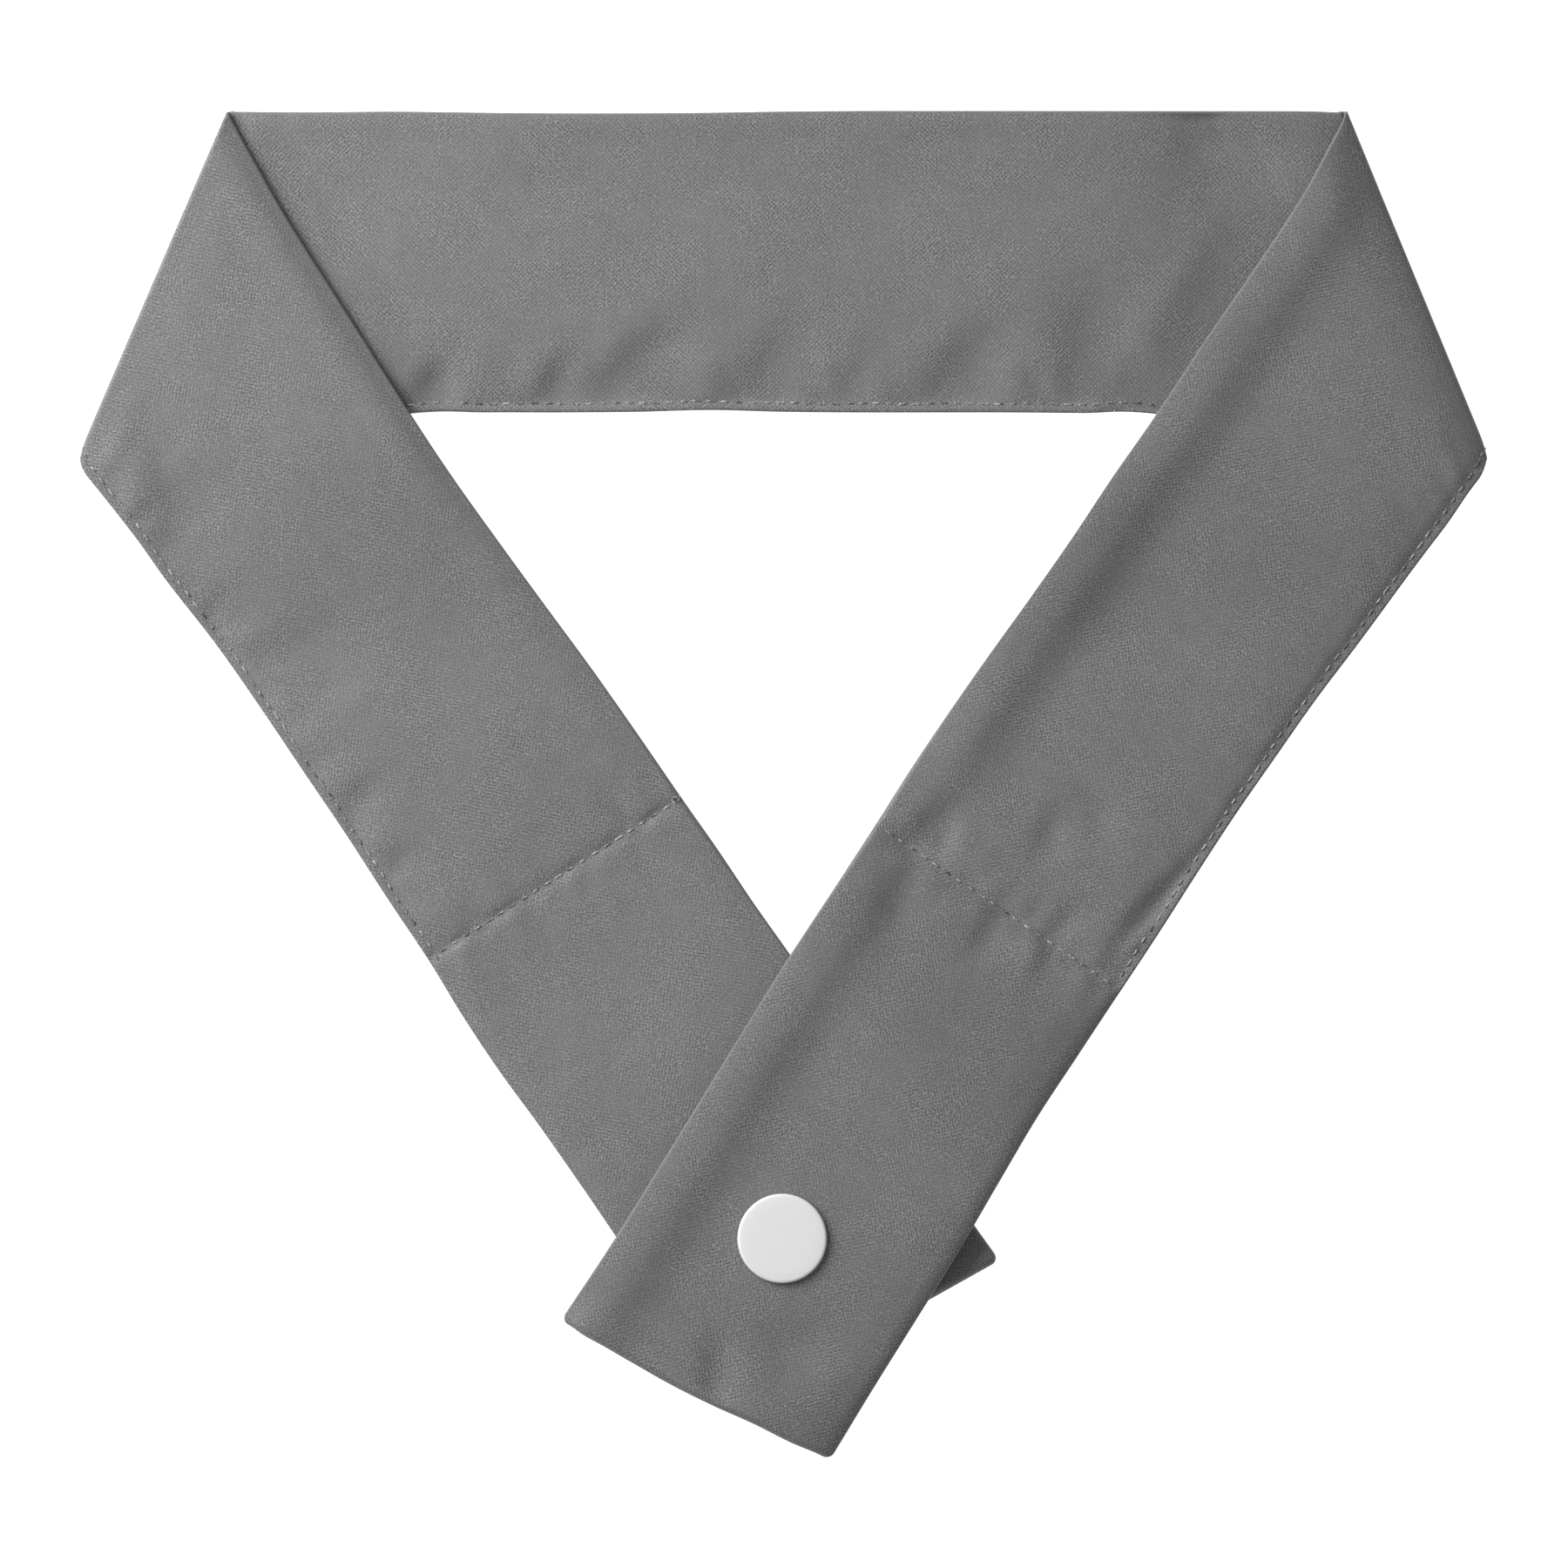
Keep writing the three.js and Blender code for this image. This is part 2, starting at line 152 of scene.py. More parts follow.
def profile(x, knots):
    """A smooth curve through (x, value) knots, level past both ends."""
    at, values = np.array(knots, float).T
    slopes = np.gradient(values, at)
    slopes[0] = slopes[-1] = 0
    i = np.clip(np.searchsorted(at, x) - 1, 0, len(at) - 2)
    gap = at[i + 1] - at[i]
    share = np.clip((x - at[i]) / gap, 0, 1)
    return hermite(values[i], values[i + 1], slopes[i] * gap, slopes[i + 1] * gap, share)


def through(rows):
    """Fine rows on a smooth curve through the given ones, and where each given row came to lie among them."""
    slopes = np.gradient(rows, axis=0)
    middles = (rows[:, 0:2] + rows[:, 2:4]) / 2
    pieces, starts = [], [0]
    for i in range(len(rows) - 1):
        count = max(1, round(np.linalg.norm(middles[i + 1] - middles[i]) / FINE_STEP))
        share = (np.arange(count) / count)[:, None]
        pieces.append(hermite(rows[i], rows[i + 1], slopes[i], slopes[i + 1], share))
        starts.append(starts[-1] + count)
    return np.vstack([*pieces, rows[-1:]]), starts


def unit(vectors):
    """Vectors of length 1 that point the same way."""
    return vectors / np.linalg.norm(vectors, axis=-1, keepdims=True)


def run_along(points):
    """The distance from the first of some points to each of them, along all of them."""
    return np.concatenate([[0], np.cumsum(np.linalg.norm(np.diff(points, axis=0), axis=1))])


def smooth(value):
    value = np.clip(value, 0, 1)
    return value * value * (3 - 2 * value)


def fade(past, full, spread):
    """1 up to `full` past an edge, falling to 0 at `spread` past it."""
    return 1 - smooth((past - full) / (spread - full))


# %% [markdown]
# ## How high the cloth lies
# The band lies on the table. Each leg lies on the band and comes down to the table past the band's edge, the
# right leg climbs over the left tail, and both tails rise a little to the snap between them. The fine cloth
# has to lie where the model's plain cloth lies, so these heights repeat the model's own. A cloth simulation
# could find them too, but it would move the folds away from where they are seen.

# %% Heights of the two legs above the table
LAYER = 3.3  # one layer of strap and the gap above it
EDGE_CLEAR, DROOP = 1.2, 40  # a leg leaves an edge at full height this far out, and is down again there
CAP_CLEAR, CAP_SPREAD = 4.5, 55  # the same for the rise to the snap, from the rim of the cap
CAP_RADIUS = 7.5
OVER_BACK_CAP, OVER_COUPLING = 1.5, 1.63  # what the hidden pieces of the snap lift each tail by
SNAP = np.array([-0.3, -76.1])


def past_line(place, start, end):
    """How far a place lies past a line, on the line's right-hand side."""
    along = unit(end - start)
    return (place[..., 0] - start[0]) * along[1] - (place[..., 1] - start[1]) * along[0]


def past_band(place):
    x = place[..., 0]
    left = np.interp(x, BAND_ROWS[[0, 2], 2], BAND_ROWS[[0, 2], 3])
    right = np.interp(x, BAND_ROWS[[-3, -1], 2], BAND_ROWS[[-3, -1], 3])
    return np.where(x < 0, left, right) - place[..., 1]


def past_left_tail(place):
    end, start = LEFT_ROWS[0], LEFT_ROWS[CROSS_SEAM_ROW["left"]]
    past_fold = past_line(place, end[0:2], start[0:2])
    past_stitches = past_line(place, start[2:4], end[2:4])
    past_end = past_line(place, end[2:4], end[0:2])
    return np.maximum(np.maximum(past_fold, past_stitches), past_end)


def past_cap(place):
    return np.linalg.norm(place - SNAP, axis=-1) - CAP_RADIUS


def rise_to_snap(place, end, cross_seam):
    """The share of its rise to the snap that a leg has at a place. It rises only along its length."""
    along = unit(end[0:2] - cross_seam[0:2])
    return fade(np.abs((place - SNAP) @ along) - CAP_RADIUS, CAP_CLEAR, CAP_SPREAD)


def over_band(place):
    return LAYER * fade(past_band(place), EDGE_CLEAR, DROOP)


def over_back_cap(place):
    return OVER_BACK_CAP * rise_to_snap(place, LEFT_ROWS[0], LEFT_ROWS[CROSS_SEAM_ROW["left"]])


def right_height(place):
    over_coupling = OVER_COUPLING * rise_to_snap(place, RIGHT_ROWS[-1], RIGHT_ROWS[CROSS_SEAM_ROW["right"]])
    over_left_tail = (LAYER + over_back_cap(place)) * fade(past_left_tail(place), EDGE_CLEAR, DROOP)
    return over_band(place) + over_coupling + over_left_tail


HEIGHT = {"left": lambda place: over_band(place) + over_back_cap(place),
          "band": lambda place: np.zeros(place.shape[:-1]), "right": right_height}
print("right tail over the snap: %.2f mm" % right_height(SNAP[None])[0])

# %% [markdown]
# ## The shape across the strap
# Empty cloth isn't a flat plate. The folded edge stays a soft roll, the middle holds a little air, and the
# stitches pull both plies together. Half of the thickness is a profile with a few knots, one for each part of
# the strap, because each part lies in another way. The right leg has the strongest roll, with a long valley
# beside it. The underside curls up towards the fold, so that a roll can stand higher than it is thick.

# %% Profiles across and along
# distance from the folded edge, half thickness at a puff of 1
HALF = {
    "left": [(0, 0.4), (1.5, 0.95), (4, 1.3), (7, 1.36), (12, 1.46), (20, 1.5), (32, 1.36), (42, 1.24),
             (50, 1.15)],
    "band": [(0, 0.45), (1.5, 1), (4, 1.23), (14, 1.32), (28, 1.36), (40, 1.3), (50, 1.15)],
    "right": [(0, 0.32), (1.3, 1.08), (2.7, 1.47), (4.3, 1.675), (5.4, 1.635), (6.6, 1.55), (8.1, 1.38),
              (10.3, 1.15), (12.3, 1.03), (15.3, 1), (20, 1.04), (30, 1.13), (40, 1.21), (50, 1.15)],
}
# distance from the folded edge, how much the underside curls up there
CURL = {
    "left": [(0, 1.15), (1.5, 0.35), (4, 0)],
    "band": [(0, 2.3), (1.5, 1.25), (4, 0.52), (8, 0.1), (11, 0)],
    "right": [(0, 2.56), (1.3, 1.16), (2.7, 0.43), (4.3, 0)],
}
# distance from the left leg's folded edge, how far the leg sinks onto the band there
SAG = [(0, 0.7), (0.6, 0.5), (1.3, 0.28), (2.2, 0.1), (3.2, 0)]
FLAT_HALF = 1.15  # half thickness at a puff of 0
# distance from the stitched edge, share of the half thickness that is left
STITCHED_PINCH = {
    "left": [(0, 0.48), (0.6, 0.58), (1.3, 0.55), (2.2, 0.68), (5, 0.90), (9, 1)],
    "band": [(0, 0.52), (0.6, 0.55), (1.3, 0.46), (2.2, 0.60), (5, 0.86), (9, 1)],
    "right": [(0, 0.66), (0.6, 0.66), (1.3, 0.64), (2.2, 0.82), (5, 0.96), (9, 1)],
}
# the same where the edge is turned in and not stitched, past a cross seam
TURNED_PINCH = [(0, 0.34), (0.4, 0.52), (1.5, 0.78), (4, 0.955), (9, 1)]
SLUMP = 0.7  # the upper ply sinks by more than the lower one rises
# distance from a cross seam, share of the half thickness that is left
CROSS_PINCH = {
    "left": [(0, 0.79), (0.5, 0.86), (1.5, 0.96), (3.5, 1)],
    "right": [(0, 0.66), (0.7, 0.74), (2, 0.90), (5, 0.98), (9, 1)],
}
END_ROUND = 1.2  # the end of a tail rounds off over this
END_CURL, END_CALM = 0.4, 8.0  # its underside curls only by this share there, and fully this far from it
CORNER_ROUND = 1.5  # and so do its two corners
CORNER_PULL = 0.8  # the stitched edge pulls in this much as it goes round a corner of the wrap
CORNER_BEND = 3.5  # it bends in over this length on both sides of the corner
CORNER_THIN = 0.46  # both layers get thinner by this share towards the right corner
CORNER_REACH = 9.0  # over this length
CORNER_CALM = 8.0  # and dents and ripples die out over this one
CORNER_TILT = {"left": 0.0, "right": 0.36}  # the upper layer slopes down like this to the outline
CORNER_SHAPE = {"left": 5.0, "right": 3.6}  # 2 is a round half turn, and 6 is nearly square
# distance from the stitched edge, how far the seen tail's end bulges past a straight cut
END_BULGE = [(0, 0), (6, 0.4), (13, 0.45), (21, 0.88), (29, 1.02), (37, 0.75), (43, 0.5), (47, 0.4), (50, 0)]

# %% [markdown]
# ## Dents, puckers and slow waves
# Cloth shows its softness in small slopes. Three kinds are added to the ply that is seen: single dents from a
# table, ripples that the stitches gather along their edge, and slow waves over the whole strap. Sculpting
# would do it as well, but numbers can be read again and corrected one by one.

# %% Table of dents
# x, y, direction in degrees, reach along it, width on its left and on its right, height
DENTS = {
    "band": [
        (-58.6, 67.5, 50, 5.5, 2.2, 4.5, -0.75), (-37.8, 67.4, 55, 6.5, 2.6, 5.5, -0.94),
        (-25, 68.8, 40, 10, 4, 7, -1.38), (-1.5, 69.6, 55, 8.5, 4, 7, -1),
        (13.3, 68.6, 60, 5.5, 3, 5, -0.56), (31, 69.3, 45, 9, 4.5, 6, -1.44),
        (42.7, 67.2, 120, 4, 1.8, 2.4, -0.5), (53, 72, 100, 9, 6, 7, -1.5),
        (59.4, 65.3, 120, 3, 1.6, 2.2, -0.44), (72.5, 109, -50, 5, 1.6, 6, -0.9),
        (79, 102.5, -43, 9, 3, 8, -1.4), (74, 100, -52, 14, 7, 14, -0.7),
    ],
    "left": [
        (-102.5, 48.5, -72, 13, 6, 3.5, -0.7), (-99.9, 45.6, 45, 8, 4, 6, -0.5),
        (-103.4, 39.5, 40, 4, 1.5, 2.5, -0.35), (-96.1, 29.2, 50, 3, 1.3, 2, -0.3),
        (-81.5, 22, 30, 8, 4, 6, -0.45), (-78, 14.6, 45, 6, 3, 4, -0.35),
        (-71.6, -3.6, 50, 5, 2.5, 4, -0.5), (-64.4, -13.5, 55, 4, 2, 3, -0.4),
    ],
    "right": [
        (104, 91, -68, 20, 4, 7, -0.38), (23.2, -8.1, 40, 6, 2, 3, -1),
        (26.6, -10.3, 75, 3, 1.2, 2, -0.75), (44.9, -8.1, 65, 5, 2, 3.5, -0.69),
        (46.2, -23.6, 50, 4, 1.8, 2.5, -0.75), (62.1, -20.4, 48, 8.5, 1.5, 2, -1.38),
        (34.5, -25.3, 50, 5, 2.2, 3.5, -0.75), (44.1, -29.1, 70, 2.5, 1.2, 2, -0.44),
        (18.8, -20.1, 70, 6, 3, 4, -0.62), (52.5, -6, 100, 5, 3, 4, -0.56),
        (-11.3, -99.5, 90, 6, 2.2, 3.2, -1.06), (2, -94, 90, 8, 5.5, 9, -1),
    ],
}


def dents(part, place):
    """Height of all dents of one part of the strap at each place."""
    total = np.zeros(place.shape[:-1])
    for x, y, angle, reach, left, right, height in DENTS[part]:
        turn = math.radians(angle)
        dx, dy = place[..., 0] - x, place[..., 1] - y
        along = (dx * math.cos(turn) + dy * math.sin(turn)) / reach
        across = dy * math.cos(turn) - dx * math.sin(turn)
        total += height * np.exp(-along ** 2 - (across / np.where(across > 0, left, right)) ** 2)
    return total


# %% Ripples and waves
# wavelength along the strap, how far the crest slants as it crosses the strap, height, phase
RIPPLES = [(7.1, 0.35, 0.055, 0.4), (9.7, -0.3, 0.065, 2.1), (13.3, 0.2, 0.07, 4.4), (18.9, -0.45, 0.05, 1.2)]
WAVES = [(34, 0.8, 0.06, 0.9), (53, -0.6, 0.09, 3.6), (88, 0.5, 0.12, 5), (29, -1.1, 0.04, 2.4)]


def ripple(table, along, across):
    total = np.zeros(np.broadcast(along, across).shape)
    for wavelength, slant, height, phase in table:
        total += height * np.sin(2 * math.pi * (along + slant * across) / wavelength + phase)
    return total


# %% [markdown]
# ## From rows to sections
# A section is a closed ring: round the outside of the strap from one stitched lip over the fold to the other
# lip, and back round the hollow inside. Every part is first laid flat along its rows. At a corner the strap
# makes a half turn about a slanting axis, so the sections there are swung round that axis.

# %% Where the sections lie along each part
ROW_STEP = 1.0
SEAM_STEP = 0.4
ROLL_STEPS = 32
AXIS_INSET = {"left": 1.2, "right": 1.7}


def corner_of(row):
    return "left" if row[0] < 0 else "right"


def outward_of(row):
    """The level way out of the outline at a corner row."""
    along = unit(row[2:4] - row[0:2])
    return np.array([-along[1], along[0]]) * np.sign(row[0])


def axis_of(row, beside):
    """A corner row moved in from the outline to the axis of its half turn.

    Each of its ends stays on the edge that leads to the row beside it, which keeps both edges straight.
    """
    moved = row.copy()
    for i in (0, 2):
        way = beside[i:i + 2] - row[i:i + 2]
        moved[i:i + 2] -= way * AXIS_INSET[corner_of(row)] / (way @ outward_of(row))
    return moved


def stations(length, cross_seam, tail_end):
    """Places along a part: a step apart, closer at its cross seam and at the end of its tail."""
    places = set(np.round(np.linspace(0, length, round(length / ROW_STEP) + 1), 3))
    if cross_seam is not None:
        places |= set(np.round(cross_seam + np.arange(-8, 9) * SEAM_STEP, 3))
    if tail_end is not None:
        near = np.array([0.04, 0.12, 0.25, 0.42, 0.65, 0.9, 1.3, 1.7, 2.3])
        places |= set(np.round(np.abs(tail_end - near), 3))
    places = np.array(sorted(places))
    return places[np.diff(places, prepend=-1) > 0.03]


# two rows whose middles give the straight way of the cloth in each part
STRAIGHT_ROWS = {"left": (13, 14), "band": (5, 9), "right": (4, 5)}
# a corner row and the row beside it
CORNER_ROWS = {"left": [(-1, -2)], "band": [(0, 1), (-1, -2)], "right": [(0, 1)]}


def lay_out(part, rows):
    """Fine rows of one part at its stations, as columns of numbers."""
    rows = rows.copy()
    for corner, beside in CORNER_ROWS[part]:
        rows[corner] = axis_of(rows[corner], rows[beside])
    fine, starts = through(rows)
    middles = (fine[:, 0:2] + fine[:, 2:4]) / 2
    run = run_along(middles)
    cross = run[starts[CROSS_SEAM_ROW[part]]] if part in CROSS_SEAM_ROW else None
    tail_end = {"left": 0.0, "right": run[-1], "band": None}[part]
    at = stations(run[-1], cross, tail_end)
    columns = np.array([np.interp(at, run, column) for column in fine.T]).T
    past_cross = {"left": at - cross, "right": cross - at}[part] if cross is not None else at * 0 + 99
    from_end = np.abs(at - tail_end).round(2) if tail_end is not None else at * 0 + 99
    first, second = (rows[i, 0:2] + rows[i, 2:4] for i in STRAIGHT_ROWS[part])
    way = unit(second - first)
    slant = (columns[:, 0:2] - columns[:, 2:4]) @ way / 2  # the fold is this far ahead of the middle
    return {"at": at, "rows": columns, "past_cross": past_cross, "from_end": from_end, "length": run[-1],
            "slant": slant, "cross": cross}


laid = {part: lay_out(part, rows)
        for part, rows in (("left", LEFT_ROWS), ("band", BAND_ROWS), ("right", RIGHT_ROWS))}
print({part: (len(given["at"]), round(given["length"], 1)) for part, given in laid.items()})

# %% [markdown]
# The columns of a section are closest together at the stitched edge, where the cloth is pinched, and about
# a millimetre and a quarter apart in the middle, where it is smooth.

# %% Columns across the strap
from_stitches = np.concatenate([
    [0, 0.25, 0.6, 0.95, 1.3, 1.65, 2.1, 2.7, 3.5, 4.5, 5.7], np.arange(7.0, 48.0, 1.3), [48.6]])
TO_FOLD = from_stitches[-1]
COLUMNS = from_stitches / TO_FOLD  # 0 at the lip, 1 at the centre of the fold's round
HOLLOW_COLUMNS = np.concatenate([[0.02], np.linspace(0.06, 1.0, 9)])
SKINS = {"outside": COLUMNS, "hollow": HOLLOW_COLUMNS}
ARC = np.linspace(0, math.pi, 9)[1:-1]
HOLLOW_ARC = np.linspace(0, math.pi, 5)[1:-1]
HOLLOW_SHARE, HOLLOW_RELIEF = 0.35, 0.5  # the hollow's share of the half thickness and of the relief
LIP_NOSE, NOSE_SHARE = 0.15, 0.55  # the lips come this far out, and have this share of the half thickness
SLIT, SLIT_DEPTH = 0.05, 0.3  # half the opening between the lips, and how far in it narrows to that


def half_thickness(part, columns, puff, past_cross, from_end):
    """Half thickness for columns across (0 lip, 1 fold) and rows along, and how far the middle slumps."""
    to_fold = STRAP_WIDTH * (1 - columns)[None, :]
    to_lip = STRAP_WIDTH * columns[None, :]
    full = FLAT_HALF + puff[:, None] * (profile(to_fold, HALF[part]) - FLAT_HALF)
    stitched = smooth((past_cross + 1.5) / 2)[:, None]
    pinch = blend(profile(to_lip, TURNED_PINCH), profile(to_lip, STITCHED_PINCH[part]), stitched)
    if part in CROSS_PINCH:
        pinch = pinch * profile(np.abs(past_cross), CROSS_PINCH[part])[:, None]
    half = full * pinch
    rounding = np.sqrt(1 - (1 - np.clip(from_end / END_ROUND, 0, 1)) ** 2)[:, None]
    flatter_end = END_CURL + (1 - END_CURL) * smooth(from_end / END_CALM)[:, None]
    curl = puff[:, None] * profile(to_fold, CURL[part]) * flatter_end
    return half * rounding, SLUMP * (full - half) + (1 - rounding) * half * 0.5 + curl


def thinner_at(part, place):
    """The share by which the cloth is thinner because the right corner of the wrap is near."""
    away = np.abs(past_line(place, BAND_ROWS[-1, 0:2], BAND_ROWS[-1, 2:4]))
    return (part != "left") * CORNER_THIN * (1 - np.clip(away / CORNER_REACH, 0, 1)) ** 2


# %% [markdown]
# All of these add up to one relief of the ply that is seen. It may neither rise into a layer above nor sink
# through the cloth, so a soft limit bends it back. Beside the legs the band's upper ply gives way: it sinks
# towards the right one and swells a little where the left one holds it.

# %% Relief of the ply that is seen
GATHER_REACH, CROSS_REACH = 9.0, 7.0  # how far ripples run from the stitched edge and a cross seam
CROSS_GATHER = 1.5  # the ripples at a cross seam are this much stronger
LEG_SINK, SINK_REACH = 1.5, 10.0  # the band sinks this much towards the right leg, over this length
SINK_FROM = 101.0  # but only below this y, as it is held up near the corner
LEG_SWELL, SWELL_REACH = 0.5, 8.0  # it swells this much beside the left leg, over this length
HIGHEST = 0.28  # under another layer the cloth rises no more than this
DEEPEST = 1.15  # and nowhere sinks by more than this share of its half thickness
CAP_CALM = 12.0  # the snap holds the cloth flat this far round the cap


def limited(value, limit):
    """The value, bent so that it never passes the limit."""
    return limit * np.tanh(value / limit)


def relief_of(part, place, along, columns, past_cross, from_end):
    """Dents, ripples and waves of the ply that is seen."""
    to_lip = STRAP_WIDTH * columns[None, :]
    near_lip = smooth(to_lip / 3) * np.exp(-(to_lip / GATHER_REACH) ** 2)
    stitched = smooth((past_cross + 4) / 6)[:, None]
    gathers = near_lip * (0.35 + 0.65 * stitched) * ripple(RIPPLES, along[:, None], to_lip)
    near_cross = np.exp(-(past_cross / CROSS_REACH) ** 2)[:, None] * smooth(np.abs(past_cross) / 1.5)[:, None]
    cross_gathers = CROSS_GATHER * near_cross * ripple(RIPPLES, to_lip * 1.3, np.abs(past_cross)[:, None])
    slow = ripple(WAVES, along[:, None], to_lip) * smooth(to_lip / 8) * smooth((STRAP_WIDTH - to_lip) / 5)
    total = dents(part, place) * smooth((to_lip - 0.4) / 2.5) + gathers + cross_gathers + slow
    highest = HIGHEST if part == "left" else 1.0
    if part == "band":
        past_left = past_line(place, *LEFT_ROWS[[14, 17], 0:2])
        past_right = past_line(place, *RIGHT_ROWS[[0, 4], 0:2])
        total += LEG_SWELL * smooth((past_left + 3) / 2.5) * (1 - smooth(past_left / SWELL_REACH))
        below_corner = smooth((SINK_FROM - place[..., 1]) / 9)
        total -= LEG_SINK * (1 - smooth(past_right / SINK_REACH)) * below_corner
        highest = HIGHEST + 1.2 * smooth(np.minimum(past_left + 2.5, past_right - 0.3) / 2)
    total = np.where(total > 0, limited(total, highest), total)
    return total * smooth(from_end / 2.5)[:, None] * (0.15 + 0.85 * smooth(past_cap(place) / CAP_CALM))


# %% One part of the strap as sections
def pull_in(distance):
    """How far the stitched edge is pulled in at a distance from a corner."""
    return 0.5 * CORNER_PULL * (1 - np.clip(distance / CORNER_BEND, 0, 1)) ** 2


def flat_part(part, given, start):
    """All sections of one part laid out flat."""
    rows, at = given["rows"], given["at"]
    fold, stitched, puff = rows[:, 0:2], rows[:, 2:4], rows[:, 4]
    past_cross, from_end = given["past_cross"], given["from_end"]
    rounding = np.clip(CORNER_ROUND - from_end, 0, CORNER_ROUND)
    inset = CORNER_ROUND - np.sqrt(CORNER_ROUND ** 2 - rounding ** 2)
    width = unit(fold - stitched)
    to_corner = np.min([given["length"] - at if corner else at for corner, _ in CORNER_ROWS[part]], axis=0)
    fold, stitched = fold - width * inset[:, None], stitched + width * (inset + pull_in(to_corner))[:, None]
    nose = LIP_NOSE * smooth(from_end / END_ROUND)
    lip = stitched + width * nose[:, None]
    ahead = np.stack([-width[:, 1], width[:, 0]], 1)
    sections = {}
    for skin, columns in SKINS.items():
        half, slump = half_thickness(part, columns, puff, past_cross, from_end)
        centre = fold - width * half[:, -1:]
        place = lip[:, None] + (centre - lip)[:, None] * columns[None, :, None]
        if part == "right":
            bulge = profile(STRAP_WIDTH * columns, END_BULGE)[None, :] * (1 - smooth(from_end / 12))[:, None]
            place = place + ahead[:, None] * bulge[..., None]
        thinner, height = thinner_at(part, place), HEIGHT[part](place)
        half = half * (1 - thinner)
        if part != "band":
            height = height - 2 * FLAT_HALF * thinner
        if part == "left":
            height = height - profile(STRAP_WIDTH * (1 - columns), SAG)[None, :] * over_band(place) / LAYER
        relief = relief_of(part, place, start + at, columns, past_cross, from_end)
        relief = relief * smooth(to_corner / CORNER_CALM)[:, None]
        relief = np.where(relief < 0, limited(relief, np.maximum(DEEPEST * half, 0.01)), relief)
        sections[skin] = {"place": place, "middle": height + half + slump, "half": half, "relief": relief}
    return {"sections": sections, "width": width, "lip": lip, "nose": nose, "up": -1 if part == "band" else 1,
            **given}


ROUND_CORNER = 8.0  # cloth used up by one corner
starts = {"left": 0.0}
starts["band"] = laid["left"]["length"] + ROUND_CORNER
starts["right"] = starts["band"] + laid["band"]["length"] + ROUND_CORNER
flat = {part: flat_part(part, laid[part], starts[part]) for part in laid}
total_length = starts["right"] + laid["right"]["length"]
print("the strap is %.0f mm long along its middle" % total_length)

# %% [markdown]
# ## Rings
# A ring holds, in order, the outer face from lip to fold, the round of the fold, the inner face back to the
# lip, the two edges of the slit, and the hollow. Since every ring has the same number of points, neighbouring
# rings join into a grid of four-sided faces.

# %% Rings of the flat parts
UP = np.array([0.0, 0.0, 1.0])


def join_up(place, z):
    return np.concatenate([place, z[..., None]], axis=-1)


def skin_ring(middle, face, half, out, width, arc):
    """Outer face, round of the fold and inner face of one skin, for many rows at once.

    `middle` is rows x columns x 3, `half` rows x columns, `out` the relief of the outer and inner face.
    """
    normal = face[:, None, :]
    outer = middle + normal * (half + out[0])[..., None]
    inner = middle - normal * (half + out[1])[..., None]
    centre, radius = middle[:, -1], half[:, -1]
    turn = [centre + (width * math.sin(a) + face * math.cos(a)) * radius[:, None] for a in arc]
    return np.concatenate([outer, np.stack(turn, 1), inner[:, ::-1]], axis=1)


def rings_of(outside, hollow, face, width, lip, open_slit, nose):
    """The closed rings of many rows: outside skin, slit and hollow skin.

    Each of the two skins is its middle, its half thickness, and the relief of its outer and inner face.
    """
    middle, half, relief = outside
    hollow_middle, hollow_half, hollow_relief = hollow
    outside = skin_ring(middle, face, half, relief, width, ARC)
    hollow = skin_ring(hollow_middle, face, hollow_half * HOLLOW_SHARE,
                       [r * HOLLOW_RELIEF for r in hollow_relief], width, HOLLOW_ARC)
    at_lip = join_up(lip, middle[:, 0, 2])
    slit = []
    for depth, opening in ((-nose[:, None], half[:, 0] * NOSE_SHARE), (SLIT_DEPTH, SLIT)):
        open_half = (opening * open_slit)[:, None] * face
        slit.append([at_lip + width * depth + side * open_half for side in (-1, 1)])
    (nose_in, nose_out), (slit_in, slit_out) = slit
    return np.concatenate([outside, np.stack([nose_in, slit_in], 1), hollow[:, ::-1],
                           np.stack([slit_out, nose_out], 1)], axis=1)


def flat_rings(flat_one):
    count, up = len(flat_one["at"]), flat_one["up"]
    open_slit = flat_one["past_cross"] > 0.01
    skins = []
    for skin, share in (("outside", 1.0), ("hollow", smooth(flat_one["from_end"] - END_ROUND)[:, None])):
        given = flat_one["sections"][skin]
        relief = [given["relief"] * share, 0 * given["relief"]][::up]  # the band's outer face looks down
        skins.append((join_up(given["place"], given["middle"]), given["half"] * share, relief))
    width = join_up(flat_one["width"], np.zeros(count))
    return rings_of(*skins, np.tile(UP * up, (count, 1)), width, flat_one["lip"], open_slit,
                    flat_one["nose"]), open_slit


